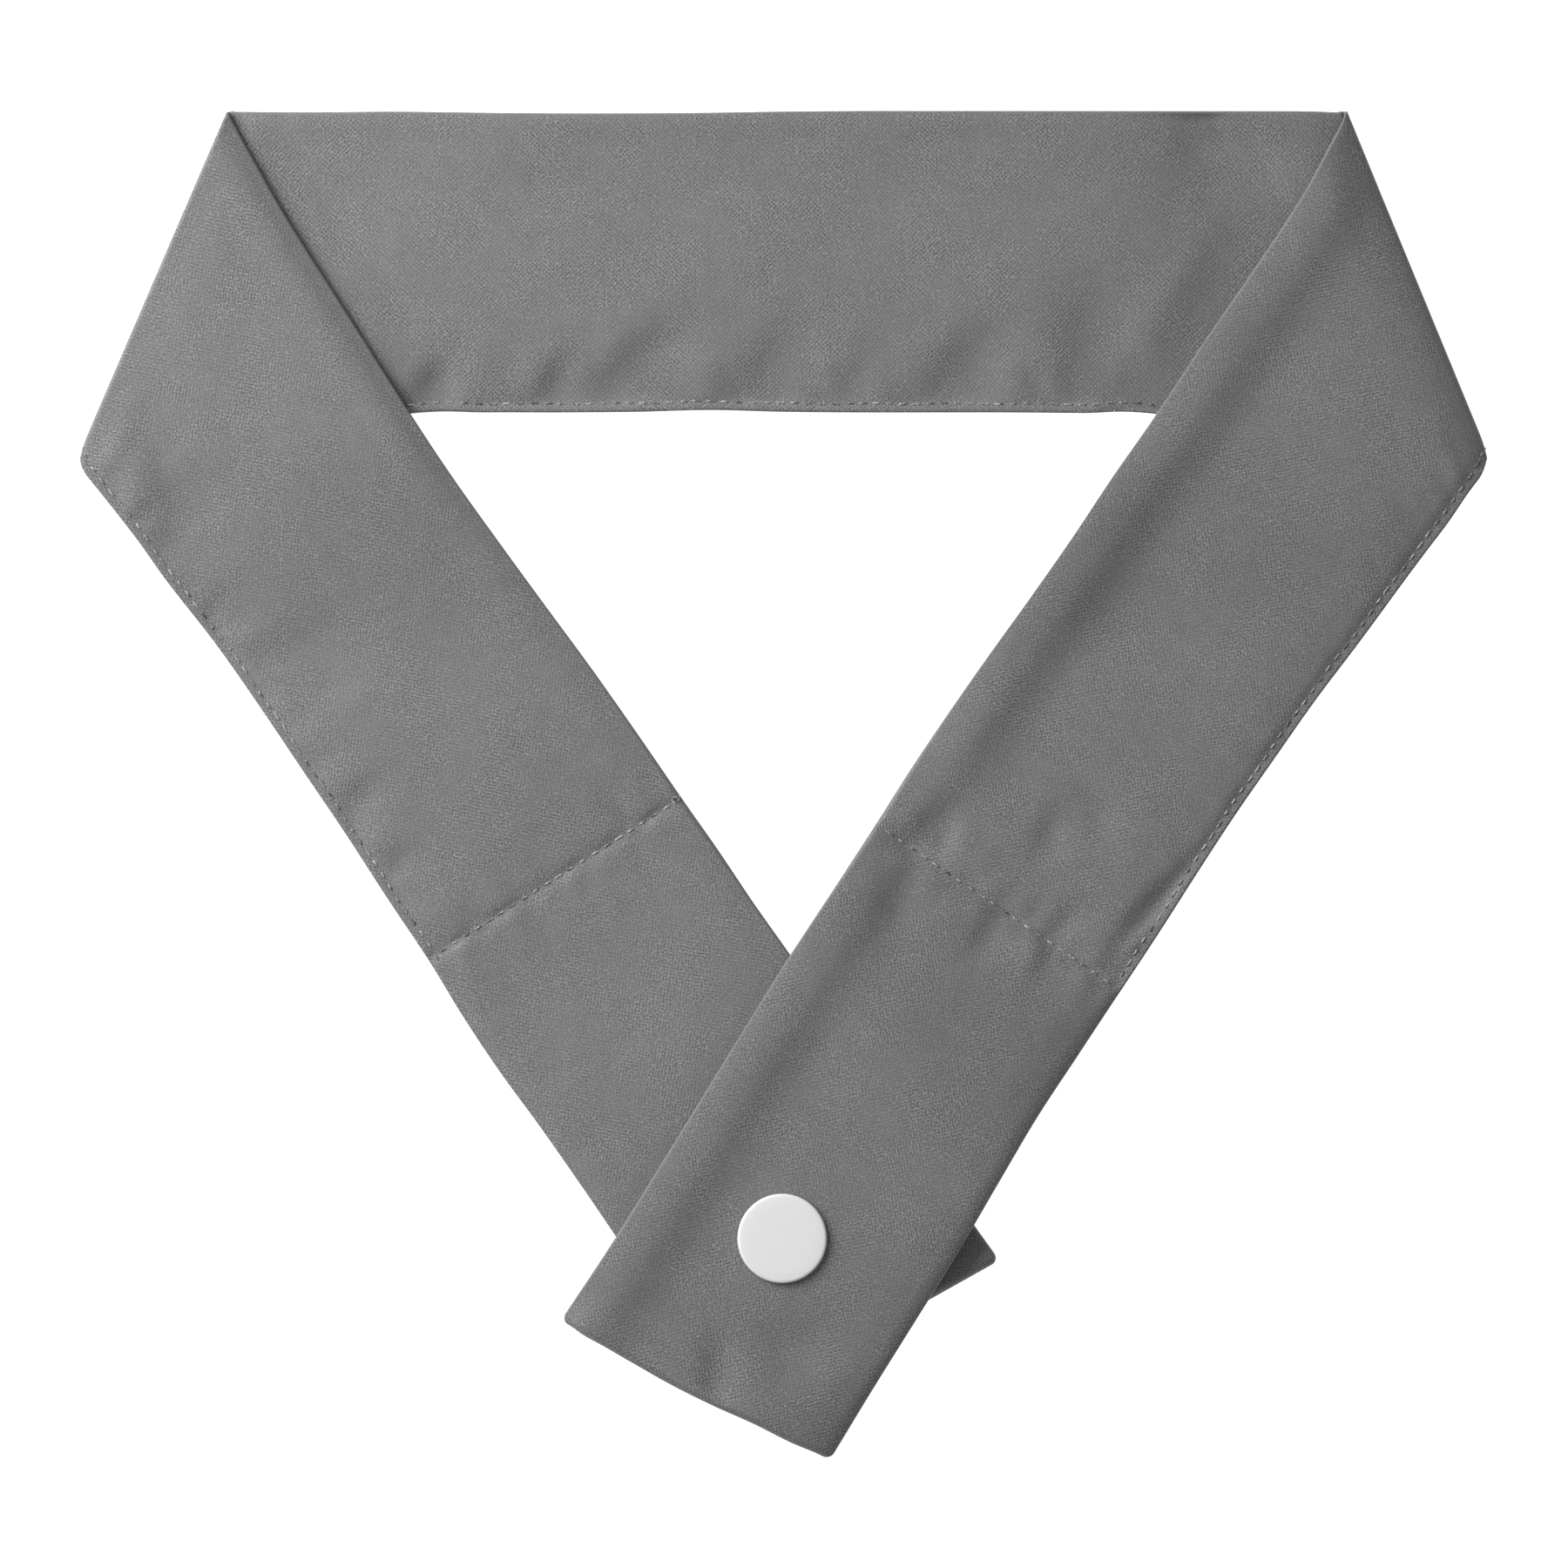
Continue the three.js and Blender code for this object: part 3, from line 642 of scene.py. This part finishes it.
# %% Rings of the corner rolls
def roll_rings(row, before, after, from_top):
    """A half turn from the last section of one part to the first one of the next.

    Seen from above each layer runs on straight to the outline, so that both edges of the strap meet in a tip.
    """
    corner, outward, count = corner_of(row), np.array([*outward_of(row), 0.0]), ROLL_STEPS - 1
    swing = np.arange(1, ROLL_STEPS) / ROLL_STEPS
    turn = math.pi * (0.5 - swing) * (1 if from_top else -1)
    out, up = np.cos(turn), np.sin(turn)
    power, mix = 2 / CORNER_SHAPE[corner], smooth(swing)[:, None]
    reach, rise = out ** power, np.sign(up) * np.abs(up) ** power
    upward = np.sign(up) * np.abs(up) ** (2 - power)
    normal = unit(out[:, None] ** (2 - power) * outward + upward[:, None] * UP)
    width = before["width"][-1]
    top, bottom = ((before, -1), (after, 0)) if from_top else ((after, 0), (before, -1))
    made = []
    for skin, columns in SKINS.items():
        first, last = before["sections"][skin]["half"][-1], after["sections"][skin]["half"][0]
        half = blend(first, last, mix) * (1 - out[:, None] * (0.35 + 0.3 * columns ** 6))
        above, below = ({key: part["sections"][skin][key][i] for key in ("place", "middle", "half")}
                        for part, i in (top, bottom))
        high, low = above["middle"] + above["half"], below["middle"] - below["half"]
        lip = row[2:4] + width * (CORNER_PULL + LIP_NOSE)
        outline = lip + (row[0:2] - width * half.min() - lip) * columns[:, None]
        outline = outline - outward[0:2] * pull_in(STRAP_WIDTH * columns)[:, None]
        base = np.where((up > 0)[:, None, None], above["place"], below["place"])
        plan = base + (outline - base) * reach[:, None, None]
        drop = CORNER_TILT[corner] * AXIS_INSET[corner] * reach * (1 + rise) / 2
        face = join_up(plan, (high + low) / 2 + rise[:, None] * (high - low) / 2 - drop[:, None])
        made.append((face - normal[:, None] * half[..., None], half, [0 * half] * 2))
    width = join_up(np.tile(width, (count, 1)), np.zeros(count))
    lip, open_slit = made[0][0][:, 0, 0:2], np.ones(count, bool)
    return rings_of(*made, normal, width, lip, open_slit, np.full(count, LIP_NOSE)), open_slit


parts = [
    flat_rings(flat["left"]),
    roll_rings(LEFT_ROWS[-1], flat["left"], flat["band"], True),
    flat_rings(flat["band"]),
    roll_rings(RIGHT_ROWS[0], flat["band"], flat["right"], False),
    flat_rings(flat["right"]),
]
rings, open_slit = (np.concatenate(values) for values in zip(*parts))


def corner_shares(before):
    """How far round a corner each of its rings is, from 0 to 1, with `before` parts in front of it."""
    first = sum(len(part[0]) for part in parts[:before]) - 1
    run = run_along(rings[first:first + ROLL_STEPS + 1, len(COLUMNS) // 2])
    print("cloth used up by a corner: %.1f mm" % run[-1])
    return run[1:-1] / run[-1]


def down_the_strap(value_of):
    """A value of every ring, spread over the corners by length. `value_of(part)` gives it for a flat part."""
    left, band, right = map(value_of, laid)
    return np.concatenate([left, left[-1] + (band[0] - left[-1]) * round_left, band,
                           band[-1] + (right[0] - band[-1]) * round_right, right])


round_left, round_right = corner_shares(1), corner_shares(3)
along = down_the_strap(lambda part: starts[part] + laid[part]["at"])
slant = down_the_strap(lambda part: laid[part]["slant"])
print("rings:", rings.shape, "lowest %.2f mm, highest %.2f mm" % (rings[..., 2].min(), rings[..., 2].max()))

# %% [markdown]
# ## From rings to one mesh
# The faces are listed ring by ring. Where the tails are sewn shut the slit has no faces, and where two points
# fall on one spot, as at the ends of the tails, they are merged, which closes the skin. Each face corner also
# keeps its place on the unfolded cloth in millimetres, in a UV map. The weave and the stitches are drawn by
# that map, so the threads run with the strap round its corners.

# %% Build the sleeve
OUTSIDE_COUNT = 2 * len(COLUMNS) + len(ARC)
RING_COUNT = rings.shape[1]
HOLLOW_ENDS = int((laid["left"]["from_end"] < END_ROUND).sum()) - 1


def over_ring(round_end, last):
    """A value for each point of a ring: it grows to the fold, round it, and on to `last` at the other lip."""
    def skin(columns, arc):
        turn = np.interp(np.linspace(0, 1, len(arc) + 2)[1:-1], [0, 1], [TO_FOLD, round_end])
        to_lip = TO_FOLD * columns
        return np.concatenate([to_lip, turn, (last - to_lip if last else to_lip)[::-1]])

    return np.concatenate([skin(COLUMNS, ARC), [last, last], skin(HOLLOW_COLUMNS, HOLLOW_ARC)[::-1], [0, 0]])


def faces_between(i, count, first=0):
    """The faces between ring i and the next one, with `count` points a ring and `first` points before."""
    a, b = first + i * count, first + (i + 1) * count
    return [(a + j, a + (j + 1) % count, b + (j + 1) % count, b + j) for j in range(count)]


def sleeve_faces():
    faces, last = [], len(rings) - 1
    for i in range(last):
        for j, face in enumerate(faces_between(i, RING_COUNT)):
            sewn = j in (OUTSIDE_COUNT, RING_COUNT - 2) and not (open_slit[i] or open_slit[i + 1])
            in_hollow = OUTSIDE_COUNT < j < RING_COUNT - 2
            if not sewn and (not in_hollow or HOLLOW_ENDS <= i < last - HOLLOW_ENDS):
                faces.append(face)
    return faces


def add_object(name, data):
    made = bpy.data.objects.new(name, data)
    scene.collection.objects.link(made)
    return made


def make_object(name, points, faces, material=None):
    mesh = bpy.data.meshes.new(name)
    mesh.from_pydata((np.asarray(points) * MM).tolist(), [], faces)
    mesh.polygons.foreach_set("use_smooth", [True] * len(mesh.polygons))
    if material:
        mesh.materials.append(material)
    return add_object(name, mesh)


def merge_and_check(made, distance):
    """Merges points on one spot, turns the faces outwards and counts edges that don't have two faces."""
    work = bmesh.new()
    work.from_mesh(made.data)
    bmesh.ops.remove_doubles(work, verts=work.verts, dist=distance)
    loose = [v for v in work.verts if not v.link_faces]
    bmesh.ops.delete(work, geom=loose, context="VERTS")
    bmesh.ops.recalc_face_normals(work, faces=work.faces)
    odd = sum(len(edge.link_faces) != 2 for edge in work.edges)
    triangles = sum(len(face.verts) - 2 for face in work.faces)
    work.to_mesh(made.data)
    work.free()
    print(made.name, "has", triangles, "triangles and", odd, "odd edges")


sleeve = make_object("strap_sleeve", rings.reshape(-1, 3), sleeve_faces())
cloth_map = sleeve.data.uv_layers.new(name="cloth_mm")
round_end = TO_FOLD + math.pi * FLAT_HALF
across_cloth = np.tile(over_ring(round_end, TO_FOLD + round_end), len(rings))
share_of_width = over_ring(TO_FOLD, 0) / TO_FOLD
along_cloth = (along[:, None] + slant[:, None] * (2 * share_of_width - 1)).ravel()
loop_vertices = np.zeros(len(sleeve.data.loops), int)
sleeve.data.loops.foreach_get("vertex_index", loop_vertices)
on_cloth = np.stack([across_cloth[loop_vertices], along_cloth[loop_vertices]], 1)
cloth_map.data.foreach_set("uv", on_cloth.astype(np.float32).ravel())
merge_and_check(sleeve, 2e-6)

# %% [markdown]
# ## Finding a place on the cloth
# The stitches have to lie exactly on the finished cloth. The outside points of the rings are a grid, so a
# place is found by its ring and its distance from the lip, between four grid points. The way out of the cloth
# is the way from one ply to the other.

# %% A point on either face
def on_grid(grid, ring, from_lip):
    column = np.interp(from_lip, from_stitches, np.arange(len(COLUMNS)))
    i, j = np.minimum(ring.astype(int), len(rings) - 2), np.minimum(column.astype(int), len(COLUMNS) - 2)
    u, v = (ring - i)[..., None], (column - j)[..., None]
    return blend(blend(grid[i, j], grid[i, j + 1], v), blend(grid[i + 1, j], grid[i + 1, j + 1], v), u)


def on_face(face, ring, from_lip):
    """Points on the outer or inner face of the strap in millimetres, and the way out of the cloth there."""
    outer = on_grid(rings[:, :len(COLUMNS)], ring, from_lip)
    inner = on_grid(rings[:, OUTSIDE_COUNT - len(COLUMNS):OUTSIDE_COUNT][:, ::-1], ring, from_lip)
    way = unit(outer - inner)
    return (outer, way) if face == "outer" else (inner, -way)


# %% [markdown]
# ## Colours and nodes
# Colours are written as they look on a screen and turned to the linear values that light needs. A small
# function adds a node, sets it and links it, so that a material reads from its pattern to its surface.

# %% Colour and node helpers
def linear(hex_colour):
    """An sRGB hex colour as linear RGBA."""
    values = [int(hex_colour[i:i + 2], 16) / 255 for i in (1, 3, 5)]
    return [v / 12.92 if v <= 0.04045 else ((v + 0.055) / 1.055) ** 2.4 for v in values] + [1.0]


def new_material(name):
    material = bpy.data.materials.new(name)
    material.use_nodes = True
    material.node_tree.nodes.clear()
    return material, material.node_tree


def add_node(kind, sockets=None, **settings):
    """Adds a shader node to `tree`, the nodes of the material at work.

    `settings` are its properties, `sockets` the values or links of its inputs.
    """
    made = tree.nodes.new("ShaderNode" + kind)
    for name, value in settings.items():
        setattr(made, name, value)
    for key, value in (sockets or {}).items():
        if isinstance(value, bpy.types.NodeSocket):
            tree.links.new(value, made.inputs[key])
        else:
            made.inputs[key].default_value = value
    return made


def fine_noise(scale, detail=2.0):
    """Noise that is fixed to the object."""
    place = add_node("TexCoord").outputs["Object"]
    sockets = {"Vector": place, "Scale": scale, "Detail": detail}
    return add_node("TexNoise", sockets).outputs[0]


def grey_between(share, dark, light):
    sockets = {0: share, 6: linear(dark), 7: linear(light)}
    return add_node("Mix", sockets, data_type="RGBA", clamp_factor=True).outputs[2]


def surface(sockets):
    """The one surface of a material."""
    made = add_node("BsdfPrincipled", sockets)
    add_node("OutputMaterial", {0: made.outputs[0]})


# %% [markdown]
# ## Woven polyester
# The cloth is polyester filament in a plain weave, mass dyed grey, with the faint lustre of smooth filament.
# Close up it shows small raised spots in staggered columns, each the top of a thread. Two slanting waves
# make such spots where they cross. Where one is stronger the eye sees slanting ribs, and slow noise changes
# that over the strap. Finer noise makes threads lighter or darker, and a few sparse specks are painted
# lighter as painted glints, a painted highlight of the lustre. A picture of real cloth could be used, but
# waves stay sharp at any distance and follow the strap by its UV map.

# %% The cloth material
COLUMN_STEP = 0.39  # between neighbouring columns of spots
SPOT_STEP = 0.73  # between the spots of a column
CLOTH_DARK, CLOTH_LIGHT = "#585858", "#8f8f8f"

woven_polyester, tree = new_material("woven_polyester")


def math_node(operation, *values):
    """The output of a math node."""
    return add_node("Math", dict(enumerate(values)), operation=operation).outputs[0]


def stretched(value, low, high):
    """A value stretched to go from 0 to 1 between two of its own values."""
    return add_node("MapRange", {"Value": value, "From Min": low, "From Max": high}).outputs[0]


def uv_noise(scale, detail):
    sockets = {"Vector": cloth_uv.outputs[0], "Scale": scale, "Detail": detail}
    return add_node("TexNoise", sockets)


def noise(scale, detail, low, high):
    """Slow or fine noise over the cloth, stretched."""
    return stretched(uv_noise(scale, detail).outputs[0], low, high)


cloth_uv = add_node("UVMap", uv_map="cloth_mm")
uneven = uv_noise(0.9, 1.0)
drawn_at = add_node("VectorMath", {
    0: uneven.outputs["Color"], 1: (0.4, 0.4, 0.0), 2: cloth_uv.outputs[0]}, operation="MULTIPLY_ADD")
split = add_node("SeparateXYZ", {0: drawn_at.outputs[0]})
down_column = math_node("MULTIPLY", split.outputs["X"], 2 * math.pi / SPOT_STEP)
over_columns = math_node("MULTIPLY", split.outputs["Y"], math.pi / COLUMN_STEP)
rising = math_node("COSINE", math_node("ADD", over_columns, down_column))
falling = math_node("COSINE", math_node("SUBTRACT", over_columns, down_column))
lean = math_node("MULTIPLY_ADD", noise(0.06, 1.0, 0.35, 0.65), 0.4, 0.3)
weave = add_node("Mix", {0: lean, 2: rising, 3: falling}).outputs[0]
patches = math_node("MULTIPLY_ADD", noise(0.11, 2.0, 0.4, 0.6), 0.45, 0.55)
spots = math_node("MULTIPLY", weave, patches)
speckle = math_node("MULTIPLY_ADD", noise(3.4, 0.0, 0.25, 0.75), 0.8, -0.4)
# painted highlights: sparse specks of the colour made lighter, standing for threads that catch the light
painted_glints = math_node("MULTIPLY", noise(2.1, 0.0, 0.62, 0.80), 0.55)
uneven_threads_and_glints = math_node("MULTIPLY", math_node("ADD", speckle, painted_glints), patches)
shade = math_node("MULTIPLY_ADD", spots, 0.30, math_node("ADD", uneven_threads_and_glints, 0.43))
clouds = math_node("MULTIPLY_ADD", noise(0.3, 3.0, 0.3, 0.7), 0.10, -0.05)
weave_bump = add_node("Bump", {"Height": spots, "Strength": 0.2, "Distance": 0.05 * MM})
surface({
    "Base Color": grey_between(math_node("ADD", shade, clouds), CLOTH_DARK, CLOTH_LIGHT),
    "Roughness": 0.62, "IOR": 1.5, "Specular IOR Level": 0.35,
    "Sheen Weight": 0.15, "Sheen Roughness": 0.4, "Normal": weave_bump.outputs[0]})
sleeve.data.materials.append(woven_polyester)

# %% [markdown]
# ## Sewing thread
# The stitches are spun polyester thread of the same grey, but shinier. Their colour varies at random and is
# painted lighter in places, a painted highlight for the light they catch, so they show as small light dashes.
# Each is a short bent rod, because a flat drawing would vanish from the side.

# %% Thread material
spun_thread, tree = new_material("spun_polyester_thread")
# random tone of the thread, with its lightest specks a painted highlight
thread_tone_and_painted_highlights = math_node("MULTIPLY", math_node("ADD", fine_noise(2500.0), fine_noise(600.0)), 0.5)
surface({
    "Base Color": grey_between(stretched(thread_tone_and_painted_highlights, 0.42, 0.62), "#4c4c4c", "#bebebe"),
    "Roughness": 0.55, "IOR": 1.5})

# %% Stitches
STITCH_PITCH, STITCH_LENGTH, THREAD_RADIUS = 2.3, 1.5, 0.15
STITCH_FROM_LIP = 1.3
THREAD_SIDES, THREAD_RINGS = 6, 7


def rod(points, radius, up):
    """A thread through points, thinner and closed at both ends: its vertices and faces."""
    points = np.asarray(points, float)
    ahead = unit(np.gradient(points, axis=0))
    aside = unit(np.cross(ahead, up))
    above = np.cross(aside, ahead)
    count = len(points)
    share = np.linspace(-1, 1, count)
    size = radius * np.sqrt(1 - 0.9 * share ** 6)
    angles = 2 * math.pi * np.arange(THREAD_SIDES) / THREAD_SIDES
    ring = aside[:, None] * np.cos(angles)[:, None] + above[:, None] * np.sin(angles)[:, None]
    vertices = (points[:, None] + ring * size[:, None, None]).reshape(-1, 3)
    faces = [face for i in range(count - 1) for face in faces_between(i, THREAD_SIDES)]
    faces.append(tuple(range(THREAD_SIDES))[::-1])
    faces.append(tuple((count - 1) * THREAD_SIDES + j for j in range(THREAD_SIDES)))
    return vertices, faces


def joined(rods):
    vertices, faces, base = [], [], 0
    for some_vertices, some_faces in rods:
        vertices.append(some_vertices)
        faces += [tuple(base + v for v in face) for face in some_faces]
        base += len(some_vertices)
    return np.concatenate(vertices), faces


def stitch_row(face, starts_at, ends_at, place_of):
    """Stitches along a line on one face. `place_of(t)` gives the rings and the distances from the lip."""
    made = []
    for n in range(int((ends_at - starts_at) / STITCH_PITCH)):
        wobble = 0.15 * math.sin(12.9 * n + starts_at)
        length = STITCH_LENGTH * (1 + 0.2 * math.sin(5.1 * n))
        t = starts_at + (n + 0.5) * STITCH_PITCH + wobble + np.linspace(-0.5, 0.5, THREAD_RINGS) * length
        ring, from_lip = place_of(t)
        base, way = on_face(face, ring, from_lip + 0.1 * math.sin(7.3 * n))
        arch = 0.08 - 0.22 * np.linspace(-1, 1, THREAD_RINGS) ** 4
        made.append(rod(base + arch[:, None] * way, THREAD_RADIUS, way[THREAD_RINGS // 2]))
    return made


def ring_at(measure, value):
    return np.interp(value, measure, np.arange(len(rings)))


cross_seams = [starts[part] + laid[part]["cross"] for part in CROSS_SEAM_ROW]
rods = []
for face in ("outer", "inner"):
    rods += stitch_row(face, *cross_seams,
                       lambda t: (ring_at(along - slant, t), np.full_like(t, STITCH_FROM_LIP)))
    for seam in cross_seams:
        rods += stitch_row(face, 1.5, 47.5, lambda t: (ring_at(along, np.full_like(t, seam)), t))

# %% The thread ends that stick out at the folded end of the left cross seam
knot_place, _ = on_face("outer", ring_at(along, np.array(cross_seams[:1])), np.array([48.2]))
curl = np.linspace(0, 1.6 * math.pi, 12)
loop = np.stack([0.5 * np.cos(curl), 0.5 * np.sin(curl) + 0.3, 0.25 + 0.1 * curl], 1)
loose_end = np.array([(0.1, -0.1, 0.1), (0.5, 0.2, 0.35), (0.75, 0.7, 0.3), (0.7, 1.3, 0.1)])
rods += [rod(knot_place + loop, 0.13, UP), rod(knot_place + loose_end, 0.12, UP)]
stitches = make_object("thread_stitches", *joined(rods), spun_thread)
print(len(rods), "stitches")

# %% [markdown]
# ## The snap
# The cap is a turned disc with a soft rim and a shallow dome, moulded in white resin. Its profile is turned
# round the axis in fine steps, so that the rim catches one clean line of light. The two pieces under it are
# hidden by the cloth, so the model's own solids stay and only get the same resin.

# %% Where the cloth is under the cap
under_cap = past_cap(rings[..., 0:2]) < 0
print("cloth under the cap, from %.2f to %.2f mm" % (rings[under_cap, 2].min(), rings[under_cap, 2].max()))

# %% Resin material and cap
moulded_resin, tree = new_material("moulded_white_resin")
grain = fine_noise(3500.0, 3.0)
resin_bump = add_node("Bump", {"Height": grain, "Strength": 0.1, "Distance": 0.02 * MM})
surface({
    "Base Color": grey_between(grain, "#e5e5e5", "#ebebeb"), "Roughness": 0.42, "IOR": 1.49,
    "Subsurface Weight": 0.1, "Subsurface Scale": 0.4 * MM, "Normal": resin_bump.outputs[0]})

low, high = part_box("snap_cap")
# the cap sits lower than in the model, because the cloth under it is thinner
CAP_TOP, CAP_BOTTOM, POST_BOTTOM = high.z / MM - 1.1, high.z / MM - 2.12, low.z / MM
# radius, how far below the top
CAP_RIM = [(0, 0), (5.5, 0.01), (6.9, 0.03), (7.15, 0.06), (7.3, 0.12), (7.4, 0.22), (7.46, 0.38), (7.5, 0.6),
           (7.5, 0.8), (7.42, 0.95)]
CAP_PROFILE = [(radius, CAP_TOP - drop) for radius, drop in CAP_RIM] + [
    (7.2, CAP_BOTTOM), (2.1, CAP_BOTTOM), (2.1, POST_BOTTOM), (0, POST_BOTTOM)]
CAP_SEGMENTS = 96


def turned(points, centre):
    """Vertices and faces of a profile turned round an upright axis at `centre`."""
    angles = 2 * math.pi * np.arange(CAP_SEGMENTS) / CAP_SEGMENTS
    (_, top), *middle, (_, bottom) = points
    vertices = [(*centre, top)]
    for radius, z in middle:
        vertices += [(centre[0] + radius * math.cos(a), centre[1] + radius * math.sin(a), z) for a in angles]
    vertices.append((*centre, bottom))
    faces = [face for i in range(len(middle) - 1) for face in faces_between(i, CAP_SEGMENTS, 1)]
    last_ring = len(vertices) - 1 - CAP_SEGMENTS
    for j in range(CAP_SEGMENTS):
        k = (j + 1) % CAP_SEGMENTS
        faces += [(0, 1 + k, 1 + j), (len(vertices) - 1, last_ring + j, last_ring + k)]
    return vertices, faces


cap = make_object("snap_cap_turned", *turned(CAP_PROFILE, SNAP), moulded_resin)
merge_and_check(cap, 1e-7)
for node in ("snap_coupling", "snap_back_cap"):
    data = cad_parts[node].data
    data.materials.clear()
    data.materials.append(moulded_resin)

# %% [markdown]
# ## Table, light and camera
# The wrap lies on a white table that is lit a little from below, which whitens the ground. The table is kept
# from lighting the cloth, so that the edges of the cloth stay dark. One large soft light shines from the left
# and a little from the back, with a weak fill from all round. A light from straight above would hide every
# slope of the cloth. The camera looks straight down through a long lens, so that outlines stay true.

# %% Table
TABLE_SIDE, TABLE_DROP = 3.0 / MM, 0.2  # half its side, and how far it lies below the cloth
backdrop, tree = new_material("matt_white_acrylic_lit_from_below")
surface({
    "Base Color": grey_between(fine_noise(900.0), "#f3f3f3", "#f7f7f7"), "Roughness": 0.9,
    "Emission Color": linear("#ffffff"), "Emission Strength": 0.92})
corners = [(x * TABLE_SIDE, y * TABLE_SIDE, -TABLE_DROP) for x, y in ((-1, -1), (1, -1), (1, 1), (-1, 1))]
table = make_object("table", corners, [(0, 1, 2, 3)], backdrop)
table.visible_diffuse = False

# %% Lights
key = add_object("key_light", bpy.data.lights.new("key_light", "AREA"))
key.data.size, key.data.energy = 0.65, 10.3
x, y, z = key.location = (-0.58, 0.35, 0.42)
# turned towards the middle of the table
key.rotation_euler = (math.atan2(math.hypot(x, y), z), 0, math.atan2(x, -y))
world = bpy.data.worlds.new("studio")
world.use_nodes = True
fill = world.node_tree.nodes["Background"]
fill.inputs["Color"].default_value = (1.0, 1.0, 1.0, 1.0)
fill.inputs["Strength"].default_value = 0.30
scene.world = world
scene.view_settings.view_transform = "Standard"

# %% Camera
FRAME_WIDTH = 263.16  # what the picture shows at the height where the cloth lies
CLOTH_HEIGHT = 3.0
camera = add_object("camera", bpy.data.cameras.new("camera"))
camera.data.lens, camera.data.sensor_width = 360.0, 36.0
camera_height = (FRAME_WIDTH * camera.data.lens / camera.data.sensor_width + CLOTH_HEIGHT) * MM
camera.location = (0.0, 0.0, camera_height)
camera.data.clip_end = 20.0
scene.camera = camera
print("camera %.2f m above the table" % camera_height)

# %% [markdown]
# ## Tie the pieces to the model
# Every piece rides on the model's one body. The fine sleeve and cap stand for the plain ones, which are
# hidden.

for piece in (sleeve, stitches, cap):
    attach(piece, "root")
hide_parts("sleeve")
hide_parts("snap_cap")
